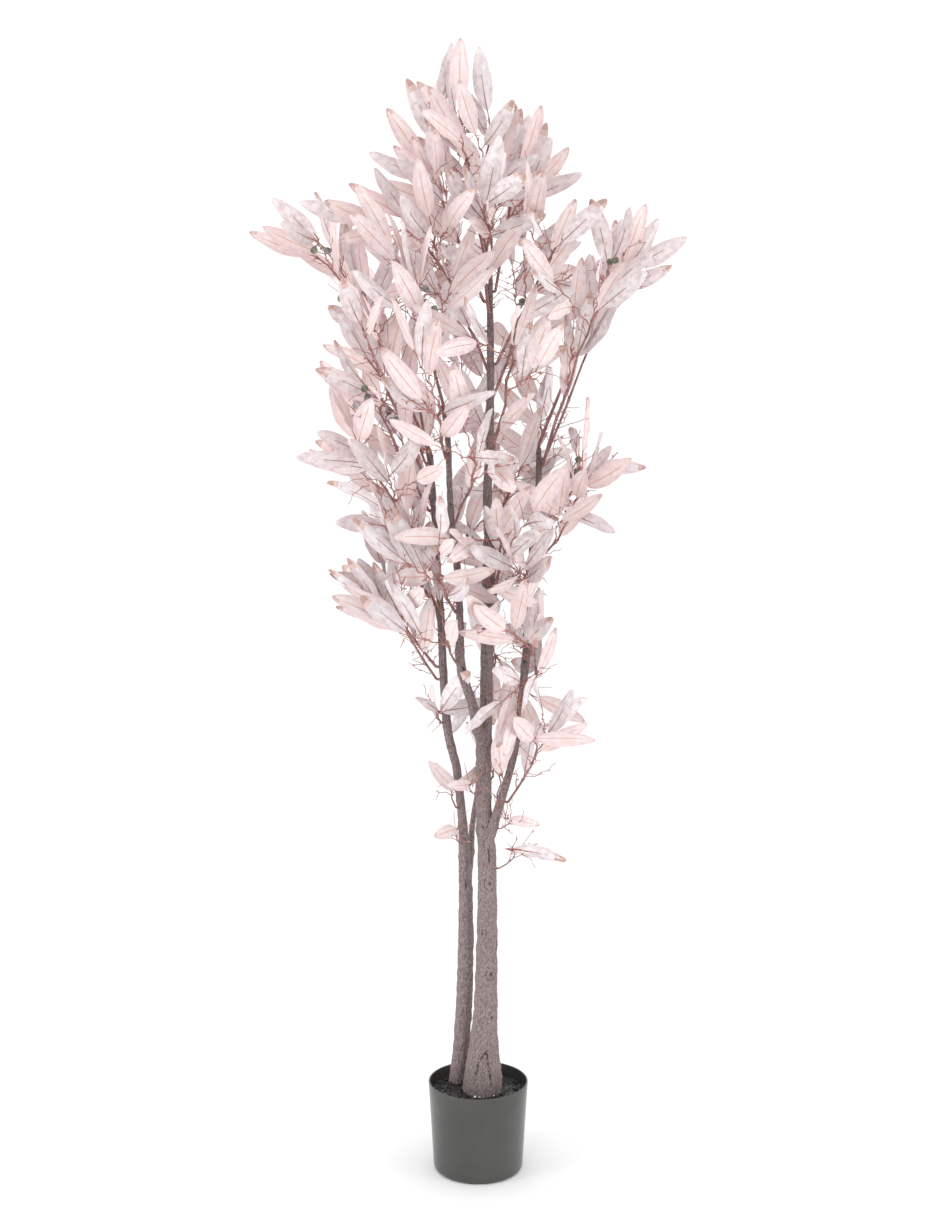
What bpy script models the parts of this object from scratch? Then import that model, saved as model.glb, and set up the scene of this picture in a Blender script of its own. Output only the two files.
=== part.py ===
"""Potted artificial eucalyptus tree, 1.8 m tall. Metres, +Z up, +Y away from the front.

The origin is the centre of the pot's flat underside. A thin plastic pot holds a cast fill, and two
trunks stand on the fill. Three boughs fork from them. Foliage is a set of sprays: each one is a
single body of a zigzag stem, side twigs, leaves and gumnuts, plugged into a limb 0.3 mm clear.
"""

import math
import random

import bmesh
import bpy
from mathutils import Vector
from mathutils.bvhtree import BVHTree

GAP = 0.0003  # between pieces that touch on the real tree

# Pot and fill
POT_HEIGHT = 0.149
POT_RIM_RADIUS = 0.081
POT_FOOT_RADIUS = 0.0725
POT_WALL = 0.0025
POT_FLOOR = 0.004
POT_FOOT_ROUND = 0.008
POT_SIDES = 32
FILL_TOP = 0.131

# Limbs: (x, y, z, radius) at each bend, from the foot or fork to the tip
MAIN_TRUNK = [
    (0.007, 0.000, FILL_TOP + GAP, 0.0310),
    (0.008, 0.000, 0.165, 0.0290),
    (0.009, 0.000, 0.205, 0.0240),
    (0.012, 0.000, 0.270, 0.0192),
    (0.014, 0.000, 0.400, 0.0162),
    (0.014, 0.000, 0.520, 0.0146),
    (0.009, 0.000, 0.600, 0.0128),
    (0.008, 0.000, 0.700, 0.0120),
    (0.012, 0.000, 0.760, 0.0100),
    (0.014, 0.000, 0.900, 0.0098),
    (0.017, 0.000, 1.010, 0.0098),
    (0.015, 0.000, 1.060, 0.0068),
    (0.014, 0.000, 1.120, 0.0070),
    (0.018, 0.000, 1.200, 0.0056),
    (0.018, 0.000, 1.330, 0.0056),
    (0.017, 0.000, 1.432, 0.0042),
]
LEFT_TRUNK = [
    (-0.036, 0.037, FILL_TOP + GAP, 0.0125),
    (-0.0285, 0.037, 0.184, 0.0132),
    (-0.0225, 0.037, 0.280, 0.0130),
    (-0.020, 0.037, 0.400, 0.0120),
    (-0.022, 0.036, 0.505, 0.0100),
    (-0.026, 0.033, 0.580, 0.0072),
    (-0.035, 0.031, 0.663, 0.0066),
    (-0.049, 0.030, 0.725, 0.0069),
    (-0.056, 0.030, 0.820, 0.0064),
    (-0.061, 0.030, 0.938, 0.0054),
    (-0.068, 0.030, 1.045, 0.0047),
    (-0.075, 0.030, 1.168, 0.0041),
]
CENTRE_BOUGH = [
    (0.006, -0.006, 0.712, 0.0080),
    (-0.003, -0.018, 0.748, 0.0092),
    (-0.010, -0.026, 0.782, 0.0074),
    (-0.028, -0.036, 0.845, 0.0075),
    (-0.029, -0.040, 0.917, 0.0056),
    (-0.034, -0.047, 1.010, 0.0056),
    (-0.043, -0.055, 1.091, 0.0048),
    (-0.047, -0.060, 1.197, 0.0044),
    (-0.054, -0.060, 1.249, 0.0039),
]
RIGHT_BOUGH = [
    (0.014, -0.003, 0.545, 0.0090),
    (0.024, -0.010, 0.582, 0.0080),
    (0.040, -0.010, 0.635, 0.0066),
    (0.054, 0.004, 0.682, 0.0060),
    (0.065, 0.018, 0.750, 0.0062),
    (0.074, 0.030, 0.826, 0.0062),
    (0.079, 0.039, 0.930, 0.0056),
    (0.087, 0.048, 1.030, 0.0050),
    (0.095, 0.050, 1.117, 0.0050),
    (0.095, 0.050, 1.177, 0.0040),
]
BACK_BOUGH = [
    (-0.018, 0.038, 0.465, 0.0062),
    (-0.013, 0.048, 0.505, 0.0056),
    (-0.009, 0.058, 0.565, 0.0048),
    (0.000, 0.070, 0.626, 0.0045),
    (0.008, 0.088, 0.740, 0.0045),
    (0.013, 0.105, 0.900, 0.0040),
    (0.015, 0.115, 1.100, 0.0037),
]
STEPS_PER_BEND = 2

# Sprays
STEM_RADIUS = (0.0032, 0.0016)  # at the plug and at the far end, to a corner of its three sides
STEM_POINTS = 6
STEM_ARCH = (0.26, 0.44)  # rise above a straight run, of its level reach
STEM_SWAY = 0.06  # of its run
PLUG = 0.005  # straight run out of the limb
ZIGZAG = 0.0030
LONG_RUN = 0.20  # shorter stems arch and zigzag less
TWIG_RADIUS = (0.0018, 0.0013)
TWIG_LENGTH = (0.068, 0.106)
TWIG_ZONE = (0.34, 0.86)  # of the stem
TWIG_SPLAY = (28, 48)  # degrees from the stem
TWIG_TURN = 60  # degrees about the stem, either way
LEAVES_PER_TWIG = 3.1
LEAVES_ON_STEM = 4
LEAF_LENGTH = (0.098, 0.122)
LAST_LENGTH = 0.108  # of the leaf that ends a stem
LAST_SHARE = 0.85  # it takes at most this much of the stem's run
LEAF_WIDTH = 0.28  # of its length
LEAF_DEPTH = 0.016  # of its length, at the keel
LEAF_SPLAY = (24, 50)  # degrees from the stem or twig
LEAF_TURN = 75  # degrees about the stem or twig, either way
LEAF_ROLL = 42  # degrees either way from upright
FRONT_TURN = 0.35  # how much a steep leaf is turned to show its face at the front
LEAF_SHIFT = 0.04  # along its run, either way
LAST_SPLAY = (2, 18)  # degrees, where a run's last leaf can't go straight on
BARE_SHARE = (0.20, 0.35)  # of a stem and of a twig, before its first leaf
LAST_PLACE = 0.93  # of a run, for its last side leaf
TWIG_SINK = 0.0006  # into the stem
LEAF_SINK = 0.0008
LAST_LEAF_SINK = 0.0010
FREE_FROM = 0.006  # past this a twig or stalk clears its own spray
JOINED_SHARE = 0.16  # of a leaf, at its base, that may meet its own spray
CLEARANCE = 0.0009  # kept from everything a leaf or twig isn't fused to
STEM_TRIES = 40
TRIES = 24
NUT_RADIUS = 0.0062
NUT_LENGTH = 0.013
NUT_SIDES = 5
NUT_STALK = 0.012
NUT_PLACE = 0.62  # of the stem
NUT_SPLAY = (45, 75)  # degrees from the stem
# Height, and how far the crown reaches left and right there; it is nearly as deep as it is wide
CROWN = [
    (0.500, -0.110, 0.165),
    (0.570, -0.110, 0.160),
    (0.610, -0.085, 0.095),
    (0.670, -0.085, 0.100),
    (0.715, -0.095, 0.210),
    (0.775, -0.108, 0.200),
    (0.825, -0.115, 0.130),
    (0.890, -0.150, 0.132),
    (0.930, -0.232, 0.120),
    (0.990, -0.240, 0.125),
    (1.025, -0.200, 0.165),
    (1.060, -0.225, 0.222),
    (1.105, -0.270, 0.180),
    (1.150, -0.292, 0.266),
    (1.200, -0.288, 0.195),
    (1.240, -0.220, 0.180),
    (1.290, -0.260, 0.155),
    (1.340, -0.258, 0.165),
    (1.370, -0.238, 0.200),
    (1.395, -0.250, 0.232),
    (1.420, -0.270, 0.272),
    (1.455, -0.306, 0.308),
    (1.505, -0.358, 0.330),
    (1.557, -0.335, 0.282),
    (1.582, -0.290, 0.175),
    (1.602, -0.232, 0.160),
    (1.640, -0.165, 0.130),
    (1.700, -0.145, 0.100),
    (1.740, -0.105, 0.048),
    (1.780, -0.052, 0.036),
    (1.802, -0.045, 0.028),
]
CROWN_DEPTH = 0.95  # of its width
CROWN_FULLNESS = 3  # 2 is an ellipse

# Sprays drawn again, for the way their leaves hang
RESEEDED = {
    "top": "_h",
    "crest": "_g",
    "top_right": "_g",
    "top_left": "_h",
    "top_front": "_d",
    "high_left": "_d",
    "high_right": "_g",
    "high_back_right": "_b",
    "front_high": "_h",
    "right_top": "_b",
    "right_crest": "_h",
    "right_front": "_b",
    "right_side": "_c",
    "right_mid": "_c",
    "right_low": "_h",
    "right_outer": "_d",
    "right_near": "_c",
    "left_top": "_c",
    "left_crest": "_d",
    "left_front_high": "_d",
    "left_side": "_b",
    "left_back": "_b",
    "left_mid": "_b",
    "left_front": "_f",
    "left_low": "_b",
    "centre_top": "_d",
    "centre_front": "_e",
    "centre_right": "_c",
    "back_top": "_d",
    "back_right": "_b",
    "fork_left": "_h",
    "fork_front": "_b",
    "fork_mid": "_e",
    "fork_right_low": "_e",
    "fork_low": "_e",
    "fork_back": "_b",
}
# name, limb, height of its plug, tip (x, y, z), leaves, gumnuts
SPRAYS = [
    ("top", "main_trunk", 1.44, (-0.027, 0.000, 1.797), 11, 1),
    ("crest", "main_trunk", 1.425, (0.019, 0.045, 1.789), 7, 0),
    ("top_right", "main_trunk", 1.42, (0.094, 0.030, 1.702), 11, 0),
    ("top_left", "main_trunk", 1.405, (-0.138, -0.030, 1.692), 11, 0),
    ("top_front", "main_trunk", 1.39, (-0.020, -0.140, 1.600), 11, 0),
    ("top_back", "main_trunk", 1.385, (0.020, 0.115, 1.655), 11, 0),
    ("high_left", "main_trunk", 1.36, (-0.195, -0.060, 1.578), 10, 0),
    ("high_right", "main_trunk", 1.31, (0.190, -0.080, 1.555), 10, 0),
    ("high_back_left", "main_trunk", 1.30, (-0.110, 0.250, 1.480), 10, 0),
    ("high_back_right", "main_trunk", 1.26, (0.160, 0.230, 1.460), 9, 1),
    ("front_high", "main_trunk", 1.14, (0.060, -0.190, 1.400), 10, 0),
    ("right_top", "right_bough", 1.18, (0.322, 0.030, 1.505), 12, 1),
    ("right_crest", "right_bough", 1.160, (0.262, 0.050, 1.553), 8, 0),
    ("right_front", "right_bough", 1.15, (0.248, -0.100, 1.448), 11, 0),
    ("right_back", "right_bough", 1.11, (0.120, 0.150, 1.300), 10, 0),
    ("right_side", "right_bough", 1.05, (0.258, -0.010, 1.150), 7, 1),
    ("right_mid", "right_bough", 0.99, (0.208, -0.060, 1.056), 6, 0),
    ("right_inner", "main_trunk", 0.94, (0.080, -0.085, 1.130), 9, 0),
    ("right_back_low", "right_bough", 0.93, (0.090, 0.130, 1.010), 9, 0),
    ("right_low", "right_bough", 0.80, (0.122, 0.020, 0.895), 10, 0),
    ("right_outer", "right_bough", 0.83, (0.112, -0.050, 0.920), 6, 0),
    ("right_lowest", "right_bough", 0.62, (0.182, -0.050, 0.730), 8, 0),
    ("right_near", "right_bough", 0.88, (0.050, -0.120, 1.020), 8, 0),
    ("left_top", "left_trunk", 1.17, (-0.348, -0.030, 1.509), 12, 1),
    ("left_crest", "left_trunk", 1.155, (-0.318, 0.020, 1.562), 8, 0),
    ("left_top_back", "left_trunk", 1.15, (-0.170, 0.200, 1.500), 9, 0),
    ("left_front_high", "left_trunk", 1.12, (-0.246, -0.110, 1.372), 12, 0),
    ("left_side", "left_trunk", 1.08, (-0.252, 0.050, 1.300), 9, 1),
    ("left_back", "left_trunk", 1.04, (-0.130, 0.210, 1.200), 9, 0),
    ("left_mid", "left_trunk", 1.00, (-0.280, -0.050, 1.170), 12, 0),
    ("left_front", "left_trunk", 0.93, (-0.212, -0.110, 1.078), 11, 0),
    ("left_back_low", "left_trunk", 0.90, (-0.130, 0.150, 1.010), 8, 0),
    ("left_low", "left_trunk", 0.83, (-0.234, 0.010, 0.982), 11, 0),
    ("left_lowest", "left_trunk", 0.81, (-0.222, -0.020, 0.936), 7, 0),
    ("centre_top", "centre_bough", 1.26, (-0.110, -0.160, 1.520), 10, 1),
    ("centre_front", "centre_bough", 1.17, (-0.090, -0.190, 1.290), 10, 0),
    ("centre_right", "centre_bough", 1.07, (0.050, -0.190, 1.180), 9, 0),
    ("centre_low", "centre_bough", 0.93, (-0.100, -0.150, 1.040), 11, 0),
    ("centre_lowest", "centre_bough", 0.85, (-0.080, -0.100, 0.930), 6, 0),
    ("back_top", "back_bough", 1.11, (0.020, 0.220, 1.380), 9, 0),
    ("back_right", "back_bough", 1.02, (0.080, 0.190, 1.170), 10, 0),
    ("back_left", "back_bough", 0.95, (-0.080, 0.180, 1.080), 10, 0),
    ("back_low", "back_bough", 0.80, (0.040, 0.110, 0.920), 8, 0),
    ("fork_left", "left_trunk", 0.74, (-0.098, -0.020, 0.790), 4, 0),
    ("fork_front", "left_trunk", 0.60, (-0.078, -0.030, 0.690), 2, 0),
    ("fork_near", "main_trunk", 0.63, (-0.050, -0.062, 0.658), 1, 0),
    ("fork_mid", "right_bough", 0.61, (0.030, -0.080, 0.750), 2, 0),
    ("fork_right", "right_bough", 0.577, (0.095, -0.060, 0.594), 1, 0),
    ("fork_right_low", "main_trunk", 0.508, (0.137, -0.050, 0.533), 1, 0),
    ("fork_low", "left_trunk", 0.540, (-0.070, -0.060, 0.576), 1, 0),
    ("fork_back", "main_trunk", 0.64, (0.070, 0.100, 0.690), 4, 0),
]


# ---------------------------------------------------------------- scene, materials, objects


def clear_scene():
    for found in list(bpy.data.objects):
        bpy.data.objects.remove(found, do_unlink=True)


def material(name, colour, roughness, metallic=0.0):
    made = bpy.data.materials.new(name)
    made.use_nodes = True
    shader = made.node_tree.nodes["Principled BSDF"]
    shader.inputs["Base Color"].default_value = (*colour, 1.0)
    shader.inputs["Roughness"].default_value = roughness
    shader.inputs["Metallic"].default_value = metallic
    return made


def make_object(name, shape, finish, smooth_angle=None, collection=None):
    """An object from (points, faces), with its faces turned outwards."""
    points, faces = shape
    bm = bmesh.new()
    corners = [bm.verts.new(point) for point in points]
    for face in faces:
        bm.faces.new([corners[i] for i in face])
    if bm.calc_volume(signed=True) < 0:
        bmesh.ops.reverse_faces(bm, faces=bm.faces)
    mesh = bpy.data.meshes.new(name)
    bm.to_mesh(mesh)
    bm.free()
    mesh.materials.append(finish)
    if smooth_angle:
        mesh.shade_smooth()
        mesh.set_sharp_from_angle(angle=math.radians(smooth_angle))
    made = bpy.data.objects.new(name, mesh)
    (collection or bpy.context.scene.collection).objects.link(made)
    return made


def apply_modifiers(subject):
    """Keeps what the modifiers make of this object, as its own mesh."""
    graph = bpy.context.evaluated_depsgraph_get()
    made = bpy.data.meshes.new_from_object(subject.evaluated_get(graph), depsgraph=graph)
    subject.modifiers.clear()
    subject.data = made


def keep_whole_body(subject):
    """Welds what a Boolean split and drops loose scraps. False if that isn't one closed body."""
    bm = bmesh.new()
    bm.from_mesh(subject.data)
    bmesh.ops.remove_doubles(bm, verts=bm.verts, dist=1e-6)
    bmesh.ops.dissolve_degenerate(bm, edges=bm.edges, dist=1e-6)
    bmesh.ops.triangulate(bm, faces=bm.faces)
    left = set(bm.faces)
    islands = []
    while left:
        island, reached = set(), [left.pop()]
        while reached:
            face = reached.pop()
            island.add(face)
            for other in {f for edge in face.edges for f in edge.link_faces} & left:
                left.remove(other)
                reached.append(other)
        islands.append(island)
    largest = max(islands, key=len)
    bmesh.ops.delete(bm, geom=[f for f in bm.faces if f not in largest], context="FACES")
    whole = len(islands) == 1 and all(edge.is_contiguous for edge in bm.edges)
    bm.to_mesh(subject.data)
    bm.free()
    return whole


# ---------------------------------------------------------------- shapes as (points, faces)


def turned(profile, sides):
    """A profile of (radius, z) turned about Z; radius 0 is a pole."""
    points, rings, faces = [], [], []
    for radius, z in profile:
        count = sides if radius else 1
        rings.append(list(range(len(points), len(points) + count)))
        for i in range(count):
            angle = 2 * math.pi * i / sides
            points.append(Vector((radius * math.cos(angle), radius * math.sin(angle), z)))
    for low, high in zip(rings, rings[1:]):
        for i in range(sides):
            j = (i + 1) % sides
            face = [low[i % len(low)], low[j % len(low)], high[j % len(high)], high[i % len(high)]]
            faces.append(list(dict.fromkeys(face)))
    return points, faces


def spline(bends, steps):
    """A smooth run through (x, y, z, radius) bends, as (centres, radii)."""
    rows = [Vector(bend) for bend in bends]
    rows = [2 * rows[0] - rows[1], *rows, 2 * rows[-1] - rows[-2]]
    centres, radii = [], []
    for a, b, c, d in zip(rows, rows[1:], rows[2:], rows[3:]):
        for step in range(steps):
            t = step / steps
            row = 0.5 * (2 * b + (c - a) * t + (2 * a - 5 * b + 4 * c - d) * t**2)
            row += 0.5 * (3 * b - a - 3 * c + d) * t**3
            centres.append(row.to_3d())
            radii.append(row[3])
    centres.append(rows[-2].to_3d())
    radii.append(rows[-2][3])
    return centres, radii


def tube(centres, radii, sides, start=None):
    """A round or three-sided tube with flat ends, along centres."""
    points, faces = [], []
    across = None
    for i, centre in enumerate(centres):
        ahead = (centres[min(i + 1, len(centres) - 1)] - centres[max(i - 1, 0)]).normalized()
        if i == 0 and start:
            ahead = start
        if across is None:
            across = ahead.cross(Vector((0.3, 1.0, 0.2))).normalized()
        across = (across - ahead * across.dot(ahead)).normalized()
        other = ahead.cross(across)
        for k in range(sides):
            angle = 2 * math.pi * k / sides
            points.append(centre + radii[i] * (math.cos(angle) * across + math.sin(angle) * other))
    for i in range(len(centres) - 1):
        for k in range(sides):
            a, b = i * sides + k, i * sides + (k + 1) % sides
            faces.append([a, b, b + sides, a + sides])
    faces.append(list(range(sides))[::-1])
    faces.append(list(range(len(points) - sides, len(points))))
    return points, faces


def blade(leaf, margin=0.0, skipped=0.0):
    """A leaf as a closed keel of eight faces. For a test of clearance, margin swells it and the
    skipped part of its length, at the base, is left out."""
    base, along, face, length = leaf
    across = along.cross(face).normalized()
    width = length * LEAF_WIDTH / 2 + margin
    rise = face * (length * LEAF_DEPTH + margin)
    start = base + along * length * skipped - face * margin
    points = [start, base + along * (length + margin) - face * margin]
    for part, reach in ((0.26, 0.92), (0.72, 0.86)):
        for side in (-1, 1):
            points.append(base + along * length * part + across * width * reach * side + rise)
    faces = [(2, 3, 5), (2, 5, 4), (0, 3, 2), (1, 4, 5), (0, 2, 4), (0, 4, 1), (0, 5, 3), (0, 1, 5)]
    return points, faces


def nut(base, along):
    """A gumnut: a small closed urn with a flat mouth, on its stalk's line."""
    sides = NUT_SIDES
    across = along.orthogonal().normalized()
    other = along.cross(across)
    points, faces = [], []
    rings = ((0.0, 0.22), (0.35, 0.95), (0.75, 1.0), (1.0, 0.72))
    for part, reach in rings:
        for k in range(sides):
            angle = 2 * math.pi * k / sides
            out = NUT_RADIUS * reach * (math.cos(angle) * across + math.sin(angle) * other)
            points.append(base + along * NUT_LENGTH * part + out)
    for i in range(len(rings) - 1):
        for k in range(sides):
            a, b = i * sides + k, i * sides + (k + 1) % sides
            faces.append([a, b, b + sides, a + sides])
    faces.append(list(range(sides))[::-1])
    faces.append(list(range(len(points) - sides, len(points))))
    return points, faces


def tree_of(shape):
    return BVHTree.FromPolygons(*shape)


def mesh_tree(mesh):
    return tree_of(([v.co for v in mesh.vertices], [p.vertices for p in mesh.polygons]))


def touches(shape, trees):
    own = tree_of(shape)
    return any(own.overlap(other) for other in trees)


# ---------------------------------------------------------------- pot and fill


def wall_radius(z):
    return POT_FOOT_RADIUS + (POT_RIM_RADIUS - POT_FOOT_RADIUS) * z / POT_HEIGHT


def build_pot(finish):
    arc = 3
    foot = [
        (
            wall_radius(POT_FOOT_ROUND) - POT_FOOT_ROUND * (1 - math.sin(math.pi / 2 * i / arc)),
            POT_FOOT_ROUND * (1 - math.cos(math.pi / 2 * i / arc)),
        )
        for i in range(arc + 1)
    ]
    profile = [(0, 0), *foot, (wall_radius(POT_HEIGHT / 2), POT_HEIGHT / 2)]
    profile += [(POT_RIM_RADIUS, POT_HEIGHT), (POT_RIM_RADIUS - POT_WALL, POT_HEIGHT)]
    profile += [(wall_radius(POT_FLOOR) - POT_WALL - POT_FOOT_ROUND / 2, POT_FLOOR), (0, POT_FLOOR)]
    make_object("pot", turned(profile, POT_SIDES), finish, 40)


def build_fill(finish):
    """The cast weight that fills the pot to just under its rim, and that the trunks stand on."""
    low = POT_FLOOR + GAP
    inner_foot = wall_radius(POT_FLOOR) - POT_WALL - POT_FOOT_ROUND / 2
    slope = (POT_RIM_RADIUS - POT_WALL - inner_foot) / (POT_HEIGHT - POT_FLOOR)
    profile = [(0, low), (inner_foot + slope * GAP - 1.5 * GAP, low)]
    profile += [(inner_foot + slope * (FILL_TOP - POT_FLOOR) - 1.5 * GAP, FILL_TOP), (0, FILL_TOP)]
    make_object("fill", turned(profile, POT_SIDES), finish, 40)


# ---------------------------------------------------------------- trunks and boughs


def build_limb(name, bends, sides, finish, carrier=None):
    """A trunk with a level foot, or a bough whose foot is cut to its carrier's side, a gap clear."""
    foot = None if carrier else Vector((0, 0, 1))
    made = make_object(name, tube(*spline(bends, STEPS_PER_BEND), sides, foot), finish, 50)
    if carrier:
        carrier_bends, carrier_sides = carrier
        centres, radii = spline(carrier_bends, STEPS_PER_BEND)
        swollen = tube(centres, [r + GAP for r in radii], carrier_sides, Vector((0, 0, 1)))
        cutter = make_object("cutter", swollen, finish)
        cut = made.modifiers.new("cut", "BOOLEAN")
        cut.operation, cut.object, cut.solver = "DIFFERENCE", cutter, "EXACT"
        apply_modifiers(made)
        bpy.data.objects.remove(cutter, do_unlink=True)
        keep_whole_body(made)
    return mesh_tree(made.data)


# ---------------------------------------------------------------- sprays


def plug_point(limb, bends, height, tip):
    """Where a spray leaves its limb, and the way it leaves: off its side, or off its cut end."""
    centres, _ = spline(bends, STEPS_PER_BEND)
    if height >= bends[-1][2]:
        ahead = (centres[-1] - centres[-2]).normalized()
        return centres[-1] + ahead * GAP, ahead
    low = max(i for i, centre in enumerate(centres[:-1]) if centre.z <= height)
    part = (height - centres[low].z) / (centres[low + 1].z - centres[low].z)
    middle = centres[low].lerp(centres[low + 1], part)
    out = Vector((tip.x - middle.x, tip.y - middle.y, 0)).normalized()
    found, normal, _, _ = limb.ray_cast(middle + out * 0.1, -out)
    return found + normal * GAP, normal


def curve_point(start, control, end, t):
    return start * (1 - t) ** 2 + control * 2 * t * (1 - t) + end * t**2


def stem_of(plug, out, tip, draw):
    """Centres of a zigzag stem that leaves straight out of its limb and arches to its last leaf."""
    start = plug + out * PLUG
    run = tip - start
    slack = min(1, run.length / LONG_RUN)
    lift = draw.uniform(*STEM_ARCH) * math.hypot(run.x, run.y) * slack
    sway = Vector((draw.uniform(-1, 1), draw.uniform(-1, 1), 0)) * STEM_SWAY * run.length
    control = start + run * 0.5 + Vector((0, 0, lift)) + sway
    last = (tip - control).normalized()
    end = tip - last * min(LAST_LENGTH, LAST_SHARE * run.length)
    across = last.cross(Vector((0, 0, 1))).normalized()
    zigzag = ZIGZAG * slack
    centres = [plug, start]
    for i in range(1, STEM_POINTS + 1):
        bend = zigzag * (1 if i % 2 else -1) if i < STEM_POINTS else 0
        centres.append(curve_point(start, control, end, i / STEM_POINTS) + across * bend)
    return centres


def along_run(centres, t):
    """The point at t from 0 to 1 along a run of centres, and its direction there."""
    place = t * (len(centres) - 1)
    low = min(int(place), len(centres) - 2)
    step = centres[low + 1] - centres[low]
    return centres[low] + step * (place - low), step.normalized()


def splayed(ahead, degrees, turn):
    """A direction at this angle from ahead, turned about it."""
    across = ahead.cross(Vector((0, 0, 1)))
    across = across.normalized() if across.length > 0.05 else Vector((1, 0, 0))
    other = across.cross(ahead)
    side = math.cos(turn) * across + math.sin(turn) * other
    angle = math.radians(degrees)
    return (math.cos(angle) * ahead + math.sin(angle) * side).normalized()


def side_turn(right, most, draw):
    """A turn about a run, within most degrees of its right or left side."""
    return (0 if right else math.pi) + math.radians(draw.uniform(-most, most))


def rolled_face(along, roll):
    """A leaf's facing for its direction: 0 is a blade on edge, 90 a blade lying flat."""
    level = along.cross(Vector((0, 0, 1)))
    level.y += FRONT_TURN if level.y > 0 else -FRONT_TURN
    level = (level - along * level.dot(along)).normalized()
    up = level.cross(along)
    return (math.cos(math.radians(roll)) * level + math.sin(math.radians(roll)) * up).normalized()


def in_crown(point):
    """Whether a point lies inside the crown, a full oval at each height."""
    for (low, left, right), (high, next_left, next_right) in zip(CROWN, CROWN[1:]):
        if low <= point.z <= high:
            part = (point.z - low) / (high - low)
            left += (next_left - left) * part
            right += (next_right - right) * part
            half = (right - left) / 2
            across, deep = (point.x - left) / half - 1, point.y / half / CROWN_DEPTH
            return abs(across) ** CROWN_FULLNESS + abs(deep) ** CROWN_FULLNESS <= 1
    return False


def grow_stem(name, plug, out, tip, limb_trees, spray_trees):
    for attempt in range(STEM_TRIES):
        stem = stem_of(plug, out, tip, random.Random(f"{name} stem {attempt}"))
        last = len(stem) - 1
        radii = [STEM_RADIUS[0] + (STEM_RADIUS[1] - STEM_RADIUS[0]) * i / last for i in range(last + 1)]
        swollen = [r + CLEARANCE for r in radii]
        past_plug = tube(stem[1:], swollen[1:], 3)
        if not touches(tube(stem, swollen, 3), spray_trees) and not touches(past_plug, limb_trees):
            break
    return tube(stem, radii, 3, out), stem


def grow_twigs(name, stem, leaf_count, fixed_trees, parts):
    """Side twigs in turn left and right, as runs of (centres, its place in parts, bare share)."""
    runs = []
    count = max(0, round((leaf_count - LEAVES_ON_STEM) / LEAVES_PER_TWIG))
    for k in range(count):
        for attempt in range(TRIES):
            draw = random.Random(f"{name} twig {k} {attempt}")
            place = (k + draw.uniform(0.2, 0.8)) / count
            root, ahead = along_run(stem, TWIG_ZONE[0] + (TWIG_ZONE[1] - TWIG_ZONE[0]) * place)
            away = splayed(ahead, draw.uniform(*TWIG_SPLAY), side_turn(k % 2, TWIG_TURN, draw))
            end = root + away * draw.uniform(*TWIG_LENGTH)
            swollen = [r + CLEARANCE for r in TWIG_RADIUS]
            free = tube([root + away * FREE_FROM, end], swollen, 3)
            if not in_crown(end) or touches(tube([root, end], swollen, 3), fixed_trees):
                continue
            if not touches(free, parts.trees[1:]):
                centres = [root - away * TWIG_SINK, end]
                parts.add(tube(centres, TWIG_RADIUS, 3))
                runs.append((centres, len(parts.trees) - 1, BARE_SHARE[1]))
                break
    return runs


def leaf_places(runs, leaf_count):
    """One last leaf on each run, then leaves shared out among the runs, on alternate sides."""
    places = [(run, 1.0, 0) for run in runs]
    spare = leaf_count - len(places)
    for k in range(max(0, spare)):
        run = runs[k % len(runs)]
        turn = k // len(runs)
        many = (spare - 1 - k % len(runs)) // len(runs) + 1
        t = run[2] + (LAST_PLACE - run[2]) * (turn + 0.5) / many
        places.append((run, t, 1 if (turn + k) % 2 else -1))
    return places


def last_leaf(run, tip, attempt, draw):
    """The leaf that ends a run, straight on if it can; the stem's own one reaches the tip."""
    centres, index, _ = run
    base, ahead = along_run(centres, 1.0)
    along = ahead if index else (tip - base).normalized()
    if attempt:
        along = splayed(ahead, draw.uniform(*LAST_SPLAY), draw.uniform(0, 2 * math.pi))
    length = draw.uniform(*LEAF_LENGTH) if index else (tip - base).length
    face = rolled_face(along, leaf_roll(draw))
    return base - ahead * LAST_LEAF_SINK, along, face, length


def side_leaf(run, t, side, draw):
    base, ahead = along_run(run[0], t + draw.uniform(-LEAF_SHIFT, LEAF_SHIFT))
    along = splayed(ahead, draw.uniform(*LEAF_SPLAY), side_turn(side > 0, LEAF_TURN, draw))
    length = draw.uniform(*LEAF_LENGTH)
    return base - along * LEAF_SINK, along, rolled_face(along, leaf_roll(draw)), length


def leaf_roll(draw):
    return draw.uniform(-LEAF_ROLL, LEAF_ROLL) + (180 if draw.random() < 0.5 else 0)


def grow_leaf(label, tip, run, t, side, fixed_trees, parts):
    """Adds a leaf that clears everything but its own foot, where there is room for one."""
    others = [tree for i, tree in enumerate(parts.trees) if i != run[1]]
    for attempt in range(TRIES):
        draw = random.Random(f"{label} {attempt}")
        leaf = side_leaf(run, t, side, draw) if side else last_leaf(run, tip, attempt, draw)
        if not in_crown(leaf[0] + leaf[1] * leaf[3]):
            continue
        if touches(blade(leaf, CLEARANCE), fixed_trees):
            continue
        if not touches(blade(leaf, CLEARANCE, JOINED_SHARE), others):
            parts.add(blade(leaf))
            break


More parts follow.
